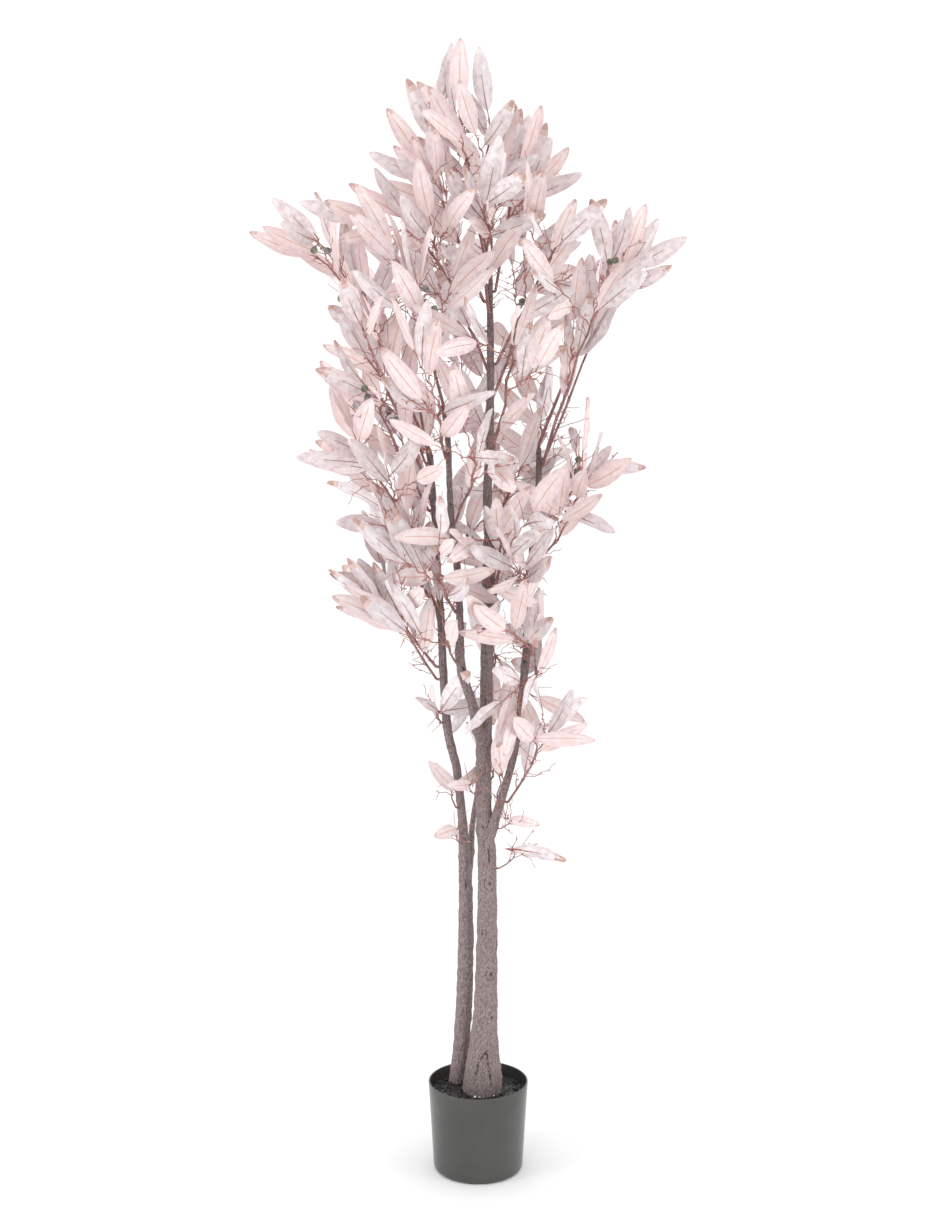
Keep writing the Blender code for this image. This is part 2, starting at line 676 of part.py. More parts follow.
def grow_nuts(name, stem, nut_count, fixed_trees, parts):
    for k in range(nut_count):
        for attempt in range(TRIES):
            draw = random.Random(f"{name} nut {k} {attempt}")
            base, ahead = along_run(stem, NUT_PLACE + draw.uniform(-LEAF_SHIFT, LEAF_SHIFT))
            along = splayed(ahead, draw.uniform(*NUT_SPLAY), draw.uniform(0, 2 * math.pi))
            seat = base + along * NUT_STALK
            far = seat + along * (NUT_LENGTH + CLEARANCE)
            around = tube([base + along * FREE_FROM, far], [NUT_RADIUS + CLEARANCE] * 2, 6)
            if not touches(around, fixed_trees + parts.trees[1:]):
                parts.add(tube([base - along * TWIG_SINK, seat + along * 0.001], TWIG_RADIUS, 3))
                parts.add(nut(seat, along))
                break


class Parts:
    """A spray's parts so far: their shapes, and a tree of each to test clearance against."""

    def __init__(self, shape):
        self.shapes, self.trees = [shape], [tree_of(shape)]

    def add(self, shape):
        self.shapes.append(shape)
        self.trees.append(tree_of(shape))


def grow_spray(spray, limb, bends, limb_trees, spray_trees):
    """The parts of one spray, each clear of everything it isn't fused to."""
    name, _, height, tip, leaf_count, nut_count = spray
    name += RESEEDED.get(name, "")
    tip = Vector(tip)
    fixed_trees = limb_trees + spray_trees
    plug, out = plug_point(limb, bends, height, tip)
    shape, stem = grow_stem(name, plug, out, tip, limb_trees, spray_trees)
    parts = Parts(shape)
    runs = [(stem, 0, BARE_SHARE[0])]
    runs += grow_twigs(name, stem, leaf_count, fixed_trees, parts)
    for k, (run, t, side) in enumerate(leaf_places(runs, leaf_count)):
        grow_leaf(f"{name} leaf {k}", tip, run, t, side, fixed_trees, parts)
    grow_nuts(name, stem, nut_count, fixed_trees, parts)
    return parts.shapes


def fuse(name, shapes, finish):
    """Joins a spray's closed parts into one body by a union on their collection."""
    parts = bpy.data.collections.new(name + "_parts")
    bpy.context.scene.collection.children.link(parts)
    made = make_object(name, shapes[0], finish)
    for k, shape in enumerate(shapes[1:]):
        make_object(f"{name}_{k}", shape, finish, None, parts)
    alone = made.data
    for solver in ("EXACT", "MANIFOLD"):
        made.data = alone
        join = made.modifiers.new("join", "BOOLEAN")
        join.operation, join.operand_type, join.solver = "UNION", "COLLECTION", solver
        join.collection = parts
        apply_modifiers(made)
        if keep_whole_body(made):
            break
    for part in list(parts.objects):
        bpy.data.objects.remove(part, do_unlink=True)
    bpy.data.collections.remove(parts)
    return made


def build_spray(spray, limbs, spray_trees, finish):
    limb, bends = limbs[spray[1]]
    limb_trees = [tree for tree, _ in limbs.values()]
    shapes = grow_spray(spray, limb, bends, limb_trees, spray_trees)
    made = fuse("spray_" + spray[0], shapes, finish)
    spray_trees.append(mesh_tree(made.data))


# ---------------------------------------------------------------- the tree


def build_tree():
    clear_scene()
    plastic = material("pot_plastic", (0.060, 0.060, 0.057), 0.35)
    ground = material("cast_fill", (0.012, 0.011, 0.010), 0.95)
    bark = material("bark", (0.235, 0.185, 0.175), 0.9)
    leaf_fabric = material("leaf_fabric", (0.80, 0.64, 0.62), 0.75)

    build_pot(plastic)
    build_fill(ground)
    trunk, left = (MAIN_TRUNK, 10), (LEFT_TRUNK, 9)
    limbs = {
        "main_trunk": (build_limb("main_trunk", *trunk, bark), MAIN_TRUNK),
        "left_trunk": (build_limb("left_trunk", *left, bark), LEFT_TRUNK),
        "centre_bough": (build_limb("centre_bough", CENTRE_BOUGH, 7, bark, trunk), CENTRE_BOUGH),
        "right_bough": (build_limb("right_bough", RIGHT_BOUGH, 7, bark, trunk), RIGHT_BOUGH),
        "back_bough": (build_limb("back_bough", BACK_BOUGH, 7, bark, left), BACK_BOUGH),
    }
    spray_trees = []
    for spray in SPRAYS:
        build_spray(spray, limbs, spray_trees, leaf_fabric)


build_tree()
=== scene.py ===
import math
import random

import bmesh
import bpy
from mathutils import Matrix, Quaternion, Vector, noise
from mathutils.bvhtree import BVHTree


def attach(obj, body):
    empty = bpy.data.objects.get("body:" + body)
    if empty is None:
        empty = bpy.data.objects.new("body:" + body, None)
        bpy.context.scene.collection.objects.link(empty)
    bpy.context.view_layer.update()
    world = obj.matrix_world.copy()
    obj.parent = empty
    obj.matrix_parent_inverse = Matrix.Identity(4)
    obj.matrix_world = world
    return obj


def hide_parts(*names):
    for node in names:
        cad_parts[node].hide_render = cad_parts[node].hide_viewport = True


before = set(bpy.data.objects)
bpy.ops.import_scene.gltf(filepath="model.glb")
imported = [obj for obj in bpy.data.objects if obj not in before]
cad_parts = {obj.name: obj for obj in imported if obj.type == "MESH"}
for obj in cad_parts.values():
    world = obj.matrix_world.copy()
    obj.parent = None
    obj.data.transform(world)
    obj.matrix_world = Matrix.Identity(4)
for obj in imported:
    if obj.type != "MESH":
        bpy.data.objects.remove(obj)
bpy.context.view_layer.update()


# ---------------------------------------------------------------- Studio
# A pale floor under a white surround, with a tall soft box on each side and a smaller one in
# front. The camera stands three metres off at chest height and looks down a little.
CAMERA_PLACE = (-0.0134, -3.0, 1.40)
CAMERA_DIP = 8.9  # degrees below level
CAMERA_LENS = 57.24  # mm
FILM_SIDE = 36.0  # mm, its longer side
SURROUND_STRENGTH = 1.13
FLOOR_SIDE = 60.0
FLOOR_COLOUR = (0.93, 0.93, 0.93)
FLOOR_ROUGHNESS = 0.9
FLOOR_SHINE = 0.1
# name, place, the point it faces, width, height, watts
SOFT_BOXES = [
    ("soft_box_left", (-2.5, -1.3, 1.4), (0.0, 0.0, 0.7), 0.9, 2.6, 19.0),
    ("soft_box_right", (2.5, -1.2, 1.3), (0.0, 0.0, 0.7), 0.7, 2.4, 12.0),
    ("soft_box_front", (-0.9, -3.4, 2.7), (0.0, 0.0, 1.1), 1.4, 1.4, 7.0),
]


def place_camera():
    seen = bpy.data.objects.new("camera", bpy.data.cameras.new("camera"))
    seen.data.lens = CAMERA_LENS
    seen.data.sensor_width = FILM_SIDE
    seen.location = CAMERA_PLACE
    seen.rotation_euler = (math.radians(90 - CAMERA_DIP), 0.0, 0.0)
    bpy.context.scene.collection.objects.link(seen)
    bpy.context.scene.camera = seen


def set_inputs(node, values):
    for name, value in values.items():
        node.inputs[name].default_value = value
    return node


def light_studio():
    world = bpy.data.worlds.new("white_surround")
    world.use_nodes = True
    white = {"Color": (1.0, 1.0, 1.0, 1.0), "Strength": SURROUND_STRENGTH}
    set_inputs(world.node_tree.nodes["Background"], white)
    bpy.context.scene.world = world
    for name, place, target, width, height, watts in SOFT_BOXES:
        lamp = bpy.data.lights.new(name, "AREA")
        lamp.shape = "RECTANGLE"
        lamp.size, lamp.size_y, lamp.energy = width, height, watts
        box = bpy.data.objects.new(name, lamp)
        box.location = place
        aim = Vector(target) - Vector(place)
        box.rotation_euler = aim.to_track_quat("-Z", "Y").to_euler()
        bpy.context.scene.collection.objects.link(box)
    bpy.context.scene.view_settings.view_transform = "Standard"
    bpy.context.scene.view_settings.look = "None"


def plain_finish(name, colour, roughness, shine):
    """A finish of one shade; mottled finishes start from it."""
    finish = bpy.data.materials.new(name)
    finish.use_nodes = True
    values = {"Base Color": (*colour, 1.0), "Roughness": roughness, "Specular IOR Level": shine}
    set_inputs(finish.node_tree.nodes["Principled BSDF"], values)
    return finish


def lay_floor():
    half = FLOOR_SIDE / 2
    mesh = bpy.data.meshes.new("studio_floor")
    corners = [(-half, -half, 0), (half, -half, 0), (half, half, 0), (-half, half, 0)]
    mesh.from_pydata(corners, [], [(0, 1, 2, 3)])
    mesh.materials.append(plain_finish("floor_paint", FLOOR_COLOUR, FLOOR_ROUGHNESS, FLOOR_SHINE))
    floor = bpy.data.objects.new("studio_floor", mesh)
    bpy.context.scene.collection.objects.link(floor)


place_camera()
light_studio()
lay_floor()


# ---------------------------------------------------------------- Pot
# A nursery-style liner pot, injection moulded in dark warm-grey polypropylene with a satin skin.
# The wall is thin and drawn in a little towards the foot, the foot edge is rounded for release
# from the mould, and the rim is a plain rounded lip.
POT_RIM_RADIUS = 0.081
POT_FOOT_RADIUS = 0.0725
POT_HEIGHT = 0.149
POT_WALL = 0.0025
POT_LIP = 0.0009
POT_FOOT_ROUND = 0.008
POT_FLOOR = 0.004
POT_SIDES = 144
ARC_STEPS = 8  # round the foot's edge and over the lip
UNDERSIDE_RING = 0.55  # of the foot's radius
WALL_RINGS = (0.2, 0.4, 0.6, 0.8)  # of the wall's height
POT_DARK = (0.034, 0.033, 0.031)
POT_PALE = (0.047, 0.046, 0.043)
POT_PATCH = 0.09
POT_BUMPS = ((0.004, 0.00006), (0.0008, 0.00002))  # size, height
POT_ROUGHNESS = 0.27
POT_SHINE = 0.75
PLAIN_SHINE = 0.5
PLAIN_SPREAD = (0.35, 0.65)


def wall_radius(z):
    return POT_FOOT_RADIUS + (POT_RIM_RADIUS - POT_FOOT_RADIUS) * z / POT_HEIGHT


def turned(profile, sides):
    """A profile of (radius, z) turned about Z; radius 0 is a pole."""
    points, rings, faces = [], [], []
    for radius, z in profile:
        count = sides if radius else 1
        rings.append(list(range(len(points), len(points) + count)))
        for i in range(count):
            angle = 2 * math.pi * i / sides
            points.append(Vector((radius * math.cos(angle), radius * math.sin(angle), z)))
    for low, high in zip(rings, rings[1:]):
        for i in range(sides):
            j = (i + 1) % sides
            face = [low[i % len(low)], low[j % len(low)], high[j % len(high)], high[i % len(high)]]
            faces.append(list(dict.fromkeys(face)))
    return points, faces


def make_piece(name, points, faces, finishes, finish_of=None, sharp_angle=40):
    """An object on the root body. finish_of gives each face's place in finishes."""
    mesh = bpy.data.meshes.new(name)
    mesh.from_pydata(points, [], faces)
    for finish in finishes:
        mesh.materials.append(finish)
    if finish_of:
        mesh.polygons.foreach_set("material_index", finish_of)
    mesh.shade_smooth()
    mesh.set_sharp_from_angle(angle=math.radians(sharp_angle))
    piece = bpy.data.objects.new(name, mesh)
    bpy.context.scene.collection.objects.link(piece)
    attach(piece, "root")
    return piece


def mottled_finish(
    name, dark, pale, patch, roughness, bumps=(), spread=PLAIN_SPREAD, shine=PLAIN_SHINE
):
    """Two close shades mottled in patches of the given size, under bumps of (size, height)."""
    finish = plain_finish(name, dark, roughness, shine)
    nodes, links = finish.node_tree.nodes, finish.node_tree.links
    shader = nodes["Principled BSDF"]
    place = nodes.new("ShaderNodeTexCoord")
    clouds = set_inputs(nodes.new("ShaderNodeTexNoise"), {"Scale": 1 / patch, "Detail": 4})
    shades = nodes.new("ShaderNodeValToRGB")
    for stop, part, colour in zip(shades.color_ramp.elements, spread, (dark, pale)):
        stop.position = part
        stop.color = (*colour, 1.0)
    links.new(place.outputs["Object"], clouds.inputs["Vector"])
    links.new(clouds.outputs["Fac"], shades.inputs["Fac"])
    links.new(shades.outputs["Color"], shader.inputs["Base Color"])
    under = None
    for size, height in bumps:
        grain = set_inputs(nodes.new("ShaderNodeTexNoise"), {"Scale": 1 / size, "Detail": 3})
        bump = set_inputs(nodes.new("ShaderNodeBump"), {"Strength": 1.0, "Distance": height})
        links.new(place.outputs["Object"], grain.inputs["Vector"])
        links.new(grain.outputs["Fac"], bump.inputs["Height"])
        if under:
            links.new(under.outputs["Normal"], bump.inputs["Normal"])
        links.new(bump.outputs["Normal"], shader.inputs["Normal"])
        under = bump
    return finish


INNER_FOOT_RADIUS = wall_radius(POT_FLOOR) - POT_WALL - POT_FOOT_ROUND / 2


def mould_pot():
    profile = [(0, 0), (POT_FOOT_RADIUS * UNDERSIDE_RING, 0)]
    for i in range(ARC_STEPS + 1):
        turn = math.pi / 2 * i / ARC_STEPS
        inset = POT_FOOT_ROUND * (1 - math.sin(turn))
        profile.append((wall_radius(POT_FOOT_ROUND) - inset, POT_FOOT_ROUND * (1 - math.cos(turn))))
    for part in WALL_RINGS:
        z = POT_FOOT_ROUND + (POT_HEIGHT - POT_FOOT_ROUND) * part
        profile.append((wall_radius(z), z))
    middle = POT_RIM_RADIUS - POT_WALL / 2
    for i in range(ARC_STEPS + 1):
        turn = math.pi * i / ARC_STEPS
        z = POT_HEIGHT - POT_LIP + POT_LIP * math.sin(turn)
        profile.append((middle + POT_WALL / 2 * math.cos(turn), z))
    profile += [(INNER_FOOT_RADIUS, POT_FLOOR), (0, POT_FLOOR)]
    finish = mottled_finish(
        "satin_grey_plastic", POT_DARK, POT_PALE, POT_PATCH, POT_ROUGHNESS, POT_BUMPS, shine=POT_SHINE
    )
    pot = make_piece("pot_shell", *turned(profile, POT_SIDES), [finish])
    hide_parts("pot")


mould_pot()


# ---------------------------------------------------------------- Fill
# Black grit, cast in with glue as ballast to a finger's width below the rim. The top is uneven
# and loose grains stand out of it. The trunks are set in it with beads of clear hot glue.
FILL_TOP = 0.131
FILL_LOW = POT_FLOOR + 0.0003
FILL_GAP = 0.0002  # from the pot's wall
FILL_RINGS = 26
FILL_SIDES = 96
FILL_SINK = 0.001  # of the grit's middle height, below the trunks' feet
LUMP_HEIGHT = 0.0034
LUMP_SHARE = 0.7  # of that height that the fill shows
FILL_LUMPS = ((1, 90, 0.0), (0.6, 230, 0.5))  # share, number per metre, slice of noise
GRAIN_COUNT = 560
GRAIN_RADIUS = (0.0014, 0.0038)
GRAIN_MARGIN = 0.004  # from the pot's wall
GRAIN_RISE = (-0.3, 0.5)  # of its radius
GRAIN_SHRINK = (0.7, 1.0)
GRAIN_STRETCH = ((0.7, 1.2), (0.7, 1.2), (0.6, 1.0))  # along x, y and z
GRAIN_BITE = (0.45, 1.3)  # how rough a grain is, and how finely
GRIT_DARK = (0.004, 0.004, 0.004)
GRIT_PALE = (0.048, 0.047, 0.045)
GRIT_PATCH = 0.003
GRIT_ROUGHNESS = 0.42
GRIT_BUMPS = ((0.0010, 0.0004),)


def fill_radius(z):
    slope = (POT_RIM_RADIUS - POT_WALL - INNER_FOOT_RADIUS) / (POT_HEIGHT - POT_FLOOR)
    return INNER_FOOT_RADIUS + slope * (z - POT_FLOOR) - FILL_GAP


def on_circle(radius, k, sides):
    turn = 2 * math.pi * k / sides
    return radius * math.cos(turn), radius * math.sin(turn)


def any_turn(draw):
    return draw.uniform(0, 2 * math.pi)


def near_turn(draw):
    """A turn as the leaves and gumnuts draw it, 0.2 degrees short of a whole one at most."""
    return draw.uniform(0, 6.28)


def add_shape(heap, shape):
    """Adds (points, faces) to a growing joined piece."""
    points, faces = heap
    start = len(points)
    points.extend(shape[0])
    faces.extend([start + i for i in face] for face in shape[1])


def grit_point(x, y):
    lumps = sum(share * noise.noise(Vector((x, y, cut)) * many) for share, many, cut in FILL_LUMPS)
    return Vector((x, y, FILL_TOP - FILL_SINK + LUMP_HEIGHT * lumps * LUMP_SHARE))


def band(start, sides):
    """Faces that join the ring of points at start to the ring that follows it."""
    pairs = [(start + k, start + (k + 1) % sides) for k in range(sides)]
    return [[a, b, b + sides, a + sides] for a, b in pairs]


def cast_fill():
    edge, foot = fill_radius(FILL_TOP), fill_radius(FILL_LOW)
    points = [grit_point(0, 0)]
    for ring in range(1, FILL_RINGS + 1):
        reach = edge * ring / FILL_RINGS
        points += [grit_point(*on_circle(reach, k, FILL_SIDES)) for k in range(FILL_SIDES)]
    points += [Vector((*on_circle(foot, k, FILL_SIDES), FILL_LOW)) for k in range(FILL_SIDES)]
    faces = [[0, 1 + k, 1 + (k + 1) % FILL_SIDES] for k in range(FILL_SIDES)]
    for ring in range(FILL_RINGS):
        faces += [[a, d, c, b] for a, b, c, d in band(1 + ring * FILL_SIDES, FILL_SIDES)]
    faces.append(list(range(len(points) - FILL_SIDES, len(points)))[::-1])
    scatter_grains((points, faces), edge - GRAIN_MARGIN)
    finish = mottled_finish("black_grit", GRIT_DARK, GRIT_PALE, GRIT_PATCH, GRIT_ROUGHNESS, GRIT_BUMPS)
    fill = make_piece("grit_fill", points, faces, [finish], sharp_angle=60)
    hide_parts("fill")


def scatter_grains(heap, most):
    """Adds loose grains, each a lump of its own, half sunk in the top."""
    bm = bmesh.new()
    bmesh.ops.create_icosphere(bm, subdivisions=2, radius=1.0)
    ball = [vert.co.copy() for vert in bm.verts]
    ball_faces = [[vert.index for vert in face.verts] for face in bm.faces]
    bm.free()
    draw = random.Random("grains")
    bite, fineness = GRAIN_BITE
    for _ in range(GRAIN_COUNT):
        reach = most * math.sqrt(draw.random())
        turn = any_turn(draw)
        size = draw.uniform(*GRAIN_RADIUS) * draw.uniform(*GRAIN_SHRINK)
        middle = grit_point(reach * math.cos(turn), reach * math.sin(turn))
        middle.z += size * draw.uniform(*GRAIN_RISE)
        stretch = Vector([draw.uniform(*ends) for ends in GRAIN_STRETCH])
        grain = []
        for corner in ball:
            lump = 1 + bite * noise.noise(corner * fineness + middle * 900)
            grain.append(middle + size * lump * corner * stretch)
        add_shape(heap, (grain, ball_faces))


cast_fill()


# ---------------------------------------------------------------- Trunks and boughs
# Steel-cored stems dipped in a wood-dust plaster that dries to a mauve grey-brown bark. It is
# wrinkled along the stem, lumpy and pitted, with knots pressed into it. Each bough is plugged in
# at a swollen collar, and the foot spreads in folds where it stands in the grit.
MAIN_TRUNK = [
    (0.007, 0.000, FILL_TOP, 0.0310),
    (0.008, 0.000, 0.165, 0.0290),
    (0.009, 0.000, 0.205, 0.0240),
    (0.012, 0.000, 0.270, 0.0192),
    (0.014, 0.000, 0.400, 0.0162),
    (0.014, 0.000, 0.520, 0.0146),
    (0.009, 0.000, 0.600, 0.0128),
    (0.008, 0.000, 0.700, 0.0120),
    (0.012, 0.000, 0.760, 0.0100),
    (0.014, 0.000, 0.900, 0.0098),
    (0.017, 0.000, 1.010, 0.0098),
    (0.015, 0.000, 1.060, 0.0068),
    (0.014, 0.000, 1.120, 0.0070),
    (0.018, 0.000, 1.200, 0.0056),
    (0.018, 0.000, 1.330, 0.0056),
    (0.017, 0.000, 1.432, 0.0042),
]
LEFT_TRUNK = [
    (-0.036, 0.037, FILL_TOP, 0.0125),
    (-0.0285, 0.037, 0.184, 0.0132),
    (-0.0225, 0.037, 0.280, 0.0130),
    (-0.020, 0.037, 0.400, 0.0120),
    (-0.022, 0.036, 0.505, 0.0100),
    (-0.026, 0.033, 0.580, 0.0072),
    (-0.035, 0.031, 0.663, 0.0066),
    (-0.049, 0.030, 0.725, 0.0069),
    (-0.056, 0.030, 0.820, 0.0064),
    (-0.061, 0.030, 0.938, 0.0054),
    (-0.068, 0.030, 1.045, 0.0047),
    (-0.075, 0.030, 1.168, 0.0041),
]
CENTRE_BOUGH = [
    (0.006, -0.006, 0.712, 0.0080),
    (-0.003, -0.018, 0.748, 0.0092),
    (-0.010, -0.026, 0.782, 0.0074),
    (-0.028, -0.036, 0.845, 0.0075),
    (-0.029, -0.040, 0.917, 0.0056),
    (-0.034, -0.047, 1.010, 0.0056),
    (-0.043, -0.055, 1.091, 0.0048),
    (-0.047, -0.060, 1.197, 0.0044),
    (-0.054, -0.060, 1.249, 0.0039),
]
RIGHT_BOUGH = [
    (0.014, -0.003, 0.545, 0.0090),
    (0.024, -0.010, 0.582, 0.0080),
    (0.040, -0.010, 0.635, 0.0066),
    (0.054, 0.004, 0.682, 0.0060),
    (0.065, 0.018, 0.750, 0.0062),
    (0.074, 0.030, 0.826, 0.0062),
    (0.079, 0.039, 0.930, 0.0056),
    (0.087, 0.048, 1.030, 0.0050),
    (0.095, 0.050, 1.117, 0.0050),
    (0.095, 0.050, 1.177, 0.0040),
]
BACK_BOUGH = [
    (-0.018, 0.038, 0.465, 0.0062),
    (-0.013, 0.048, 0.505, 0.0056),
    (-0.009, 0.058, 0.565, 0.0048),
    (0.000, 0.070, 0.626, 0.0045),
    (0.008, 0.088, 0.740, 0.0045),
    (0.013, 0.105, 0.900, 0.0040),
    (0.015, 0.115, 1.100, 0.0037),
]
FINE_STEPS = 24  # from bend to bend
UP = Vector((0, 0, 1))
# node: bends, sides, ring spacing, collars (height, rise), knots (height, degrees from the front
# to the right, size), cracks (height, degrees, half length)
LIMBS = {
    "main_trunk": (
        MAIN_TRUNK, 96, 0.0017,
        [(0.569, 0.0014), (0.716, 0.0014), (1.028, 0.0012)],
        [(0.485, 14, 0.007), (0.402, -28, 0.006), (0.335, 24, 0.007), (0.262, 30, 0.006),
         (0.300, 170, 0.008), (0.440, 205, 0.007), (0.630, 130, 0.006), (0.860, -40, 0.004),
         (0.960, 60, 0.004), (0.375, 95, 0.006), (0.245, -110, 0.008)],
        [(0.531, 15, 0.013), (0.610, 200, 0.014), (0.355, 150, 0.012), (0.780, -10, 0.008)],
    ),
    "left_trunk": (
        LEFT_TRUNK, 60, 0.0019,
        [(0.516, 0.0016), (0.640, 0.0008), (0.900, 0.0008)],
        [(0.426, 40, 0.005), (0.309, 45, 0.005), (0.378, -85, 0.006), (0.240, 190, 0.006),
         (0.450, 170, 0.005), (0.700, -60, 0.003), (0.197, 8, 0.004)],
        [(0.470, 5, 0.008), (0.330, 160, 0.010)],
    ),
    "centre_bough": (
        CENTRE_BOUGH, 36, 0.0022,
        [(0.733, 0.0018), (0.868, 0.0010), (1.090, 0.0008)],
        [(0.815, -20, 0.003), (0.960, 40, 0.003)], [(0.840, 30, 0.006)],
    ),
    "right_bough": (
        RIGHT_BOUGH, 36, 0.0022,
        [(0.578, 0.0012), (0.830, 0.0010), (1.020, 0.0008)],
        [(0.720, 20, 0.003), (0.880, -30, 0.003)], [(0.660, 10, 0.006)],
    ),
    "back_bough": (
        BACK_BOUGH, 28, 0.0026, [(0.520, 0.0010), (0.760, 0.0008)], [(0.640, 170, 0.003)], [],
    ),
}
# Relief of the bark: heights in metres, and how many waves or lumps fit in a metre
BARK_LUMPS = ((0.0013, 55), (0.00065, 150))
BARK_WRINKLE = 0.0010
WRINKLES = Vector((210, 210, 46))  # they run up the limb
BARK_GRIT = (0.00035, 420)
FULL_RELIEF = 0.013  # radius of the thinnest limb with bark as lumpy as this
COLLAR_REACH = 0.006
COLLAR_PAINTED_SHADE = (0.7, 1.5, 0.28)  # painted shade in the hollow at the collar's edge: darkness, and its place and width in reaches
KNOT_SQUASH = 0.8  # longer up the limb than round it
KNOT_END = 3  # times its size
KNOT_RISE = 0.30  # of its size
KNOT_DISH = (0.34, 0.42)  # depth and width, of its size
KNOT_PAINTED_SHADE_MIDDLE = 0.36  # painted shade in its dished middle, of its size
KNOT_PAINTED_SHADE_RING = (0.6, 1.2, 0.16)  # painted shade in a ring round it: darkness, radius, width
CRACK_WIDTH = 0.0011
CRACK_DEPTH = 0.0016
CRACK_WANDER = (0.0012, 160)
PAINTED_SHADE_FROM = 0.42  # past this much painted shade, a face takes the darker bark that is painted as shade
# How the painted shade at the collars and in the fold breaks up along its length: least, swing, number
# per metre
COLLAR_BREAKS = (0.6, 1.0, 120)
FOLD_BREAKS = (0.56, 0.35, 170)
FLARE_TOP = 0.215
FLUTES = (0.0016, 4, 40)  # height, number round the foot, phase in degrees
FURROWS = (0.0022, 0.16, 22)  # height, number to a degree round and to a metre up
FURROW_PAINTED_SHADE = (0.07, 12)  # painted shade in the furrows: how near a furrow's middle, how strongly
# the fold like a roof in front of the foot: the ends of its arms, as (degrees, height)
FOLD_ARMS = [((11, 0.207), (-18, 0.190)), ((-18, 0.190), (-31, 0.150)), ((11, 0.207), (29, 0.147))]
FOLD_DEPTH = 0.0034
FOLD_WIDTH = 0.0022
FOLD_LIP = (0.0012, 2.2)  # rise of the bark beside the fold, and reach in its widths
FOLD_WANDER = (0.0016, 0.3, 180)  # distance, number to a degree round and to a metre up
SAWN_RINGS = ((0.7, 0.0004), (0.25, -0.0008))  # share of the way to the rim, rise
BARK_PATCH = 0.0021
BARK_SPREAD = (0.32, 0.72)
BARK_BUMPS = ((0.0048, 0.0014), (0.0017, 0.0007))
BARK_ROUGHNESS = 0.93
BARK_SHINE = 0.2
BARK_DARK = (0.145, 0.108, 0.106)
BARK_MIDDLE = (0.246, 0.193, 0.191)
BARK_PALE = (0.365, 0.302, 0.298)
# Painted shade: darker bark for the hollows of cracks, the fold, furrows, collar edges and knots
PAINTED_SHADE_DARK = (0.085, 0.062, 0.061)
PAINTED_SHADE_PALE = (0.190, 0.145, 0.142)
BARK_STRETCH = 0.5  # of the mottling's scale, up the limb
GREYING = {"From Min": 0.55, "From Max": 0.95, "To Max": 0.45}  # its lowest and highest z, and how far
GREY_SHADE = (0.50, 0.44, 0.44, 1.0)
BEAD_PROFILE = [(0.0, -0.3), (0.9, -0.2), (1.0, 0.1), (0.75, 0.6), (0.35, 0.88), (0.0, 0.95)]
BEAD_SIDES = 10
BEAD_REACH = 0.6  # of its size, from the trunk's foot
BEAD_RISE = 0.0012
# degrees round the main trunk, from the front to the right, and size
GLUE_BEADS = [(-22, 0.0022), (-8, 0.0014), (35, 0.0016), (160, 0.0020)]
# The beads' pale base colour is a painted glint, standing for the highlights on clear glue
GLUE_PAINTED_GLINT = (0.82, 0.80, 0.76)
GLUE_ROUGHNESS = 0.12
GLUE_COAT = 0.6


def spline(bends, steps):
    """A smooth run through (x, y, z, radius) bends, as (centres, radii)."""
    rows = [Vector(bend) for bend in bends]
    rows = [2 * rows[0] - rows[1], *rows, 2 * rows[-1] - rows[-2]]
    centres, radii = [], []
    for a, b, c, d in zip(rows, rows[1:], rows[2:], rows[3:]):
        for step in range(steps):
            t = step / steps
            row = 0.5 * (2 * b + (c - a) * t + (2 * a - 5 * b + 4 * c - d) * t**2)
            row += 0.5 * (3 * b - a - 3 * c + d) * t**3
            centres.append(row.to_3d())
            radii.append(row[3])
    centres.append(rows[-2].to_3d())
    radii.append(rows[-2][3])
    return centres, radii


def evenly(centres, radii, spacing):
    """The same run with its points at an even spacing."""
    out = [(centres[0], radii[0])]
    owed = spacing
    for a, b, ra, rb in zip(centres, centres[1:], radii, radii[1:]):
        run = (b - a).length
        while owed <= run:
            part = owed / run
            out.append((a.lerp(b, part), ra + (rb - ra) * part))
            owed += spacing
        owed -= run
    out.append((centres[-1], radii[-1]))
    return [c for c, _ in out], [r for _, r in out]


def frames_along(centres, start=None):
    """(ahead, across, other) at each centre of a run, without twist; start fixes the first."""
    found, across = [], None
    for i in range(len(centres)):
        ahead = (centres[min(i + 1, len(centres) - 1)] - centres[max(i - 1, 0)]).normalized()
        if i == 0 and start:
            ahead = start
        if across is None:
            across = ahead.cross(Vector((0.3, 1.0, 0.2))).normalized()
        across = (across - ahead * across.dot(ahead)).normalized()
        found.append((ahead, across, ahead.cross(across)))
    return found


def hump(x):
    """1 at 0, and less and less to both sides."""
    return math.exp(-(x**2))


def breaking(point, least, swing, many):
    return least + swing * noise.noise(point * many)


def degrees_round(point, middle):
    """Where a point lies round its limb, from the front to the right."""
    side = point - middle
    return math.degrees(math.atan2(side.x, -side.y))


def apart(degrees, radius):
    """The way round a limb across this many degrees, by the shorter side."""
    return math.radians((degrees + 180) % 360 - 180) * radius


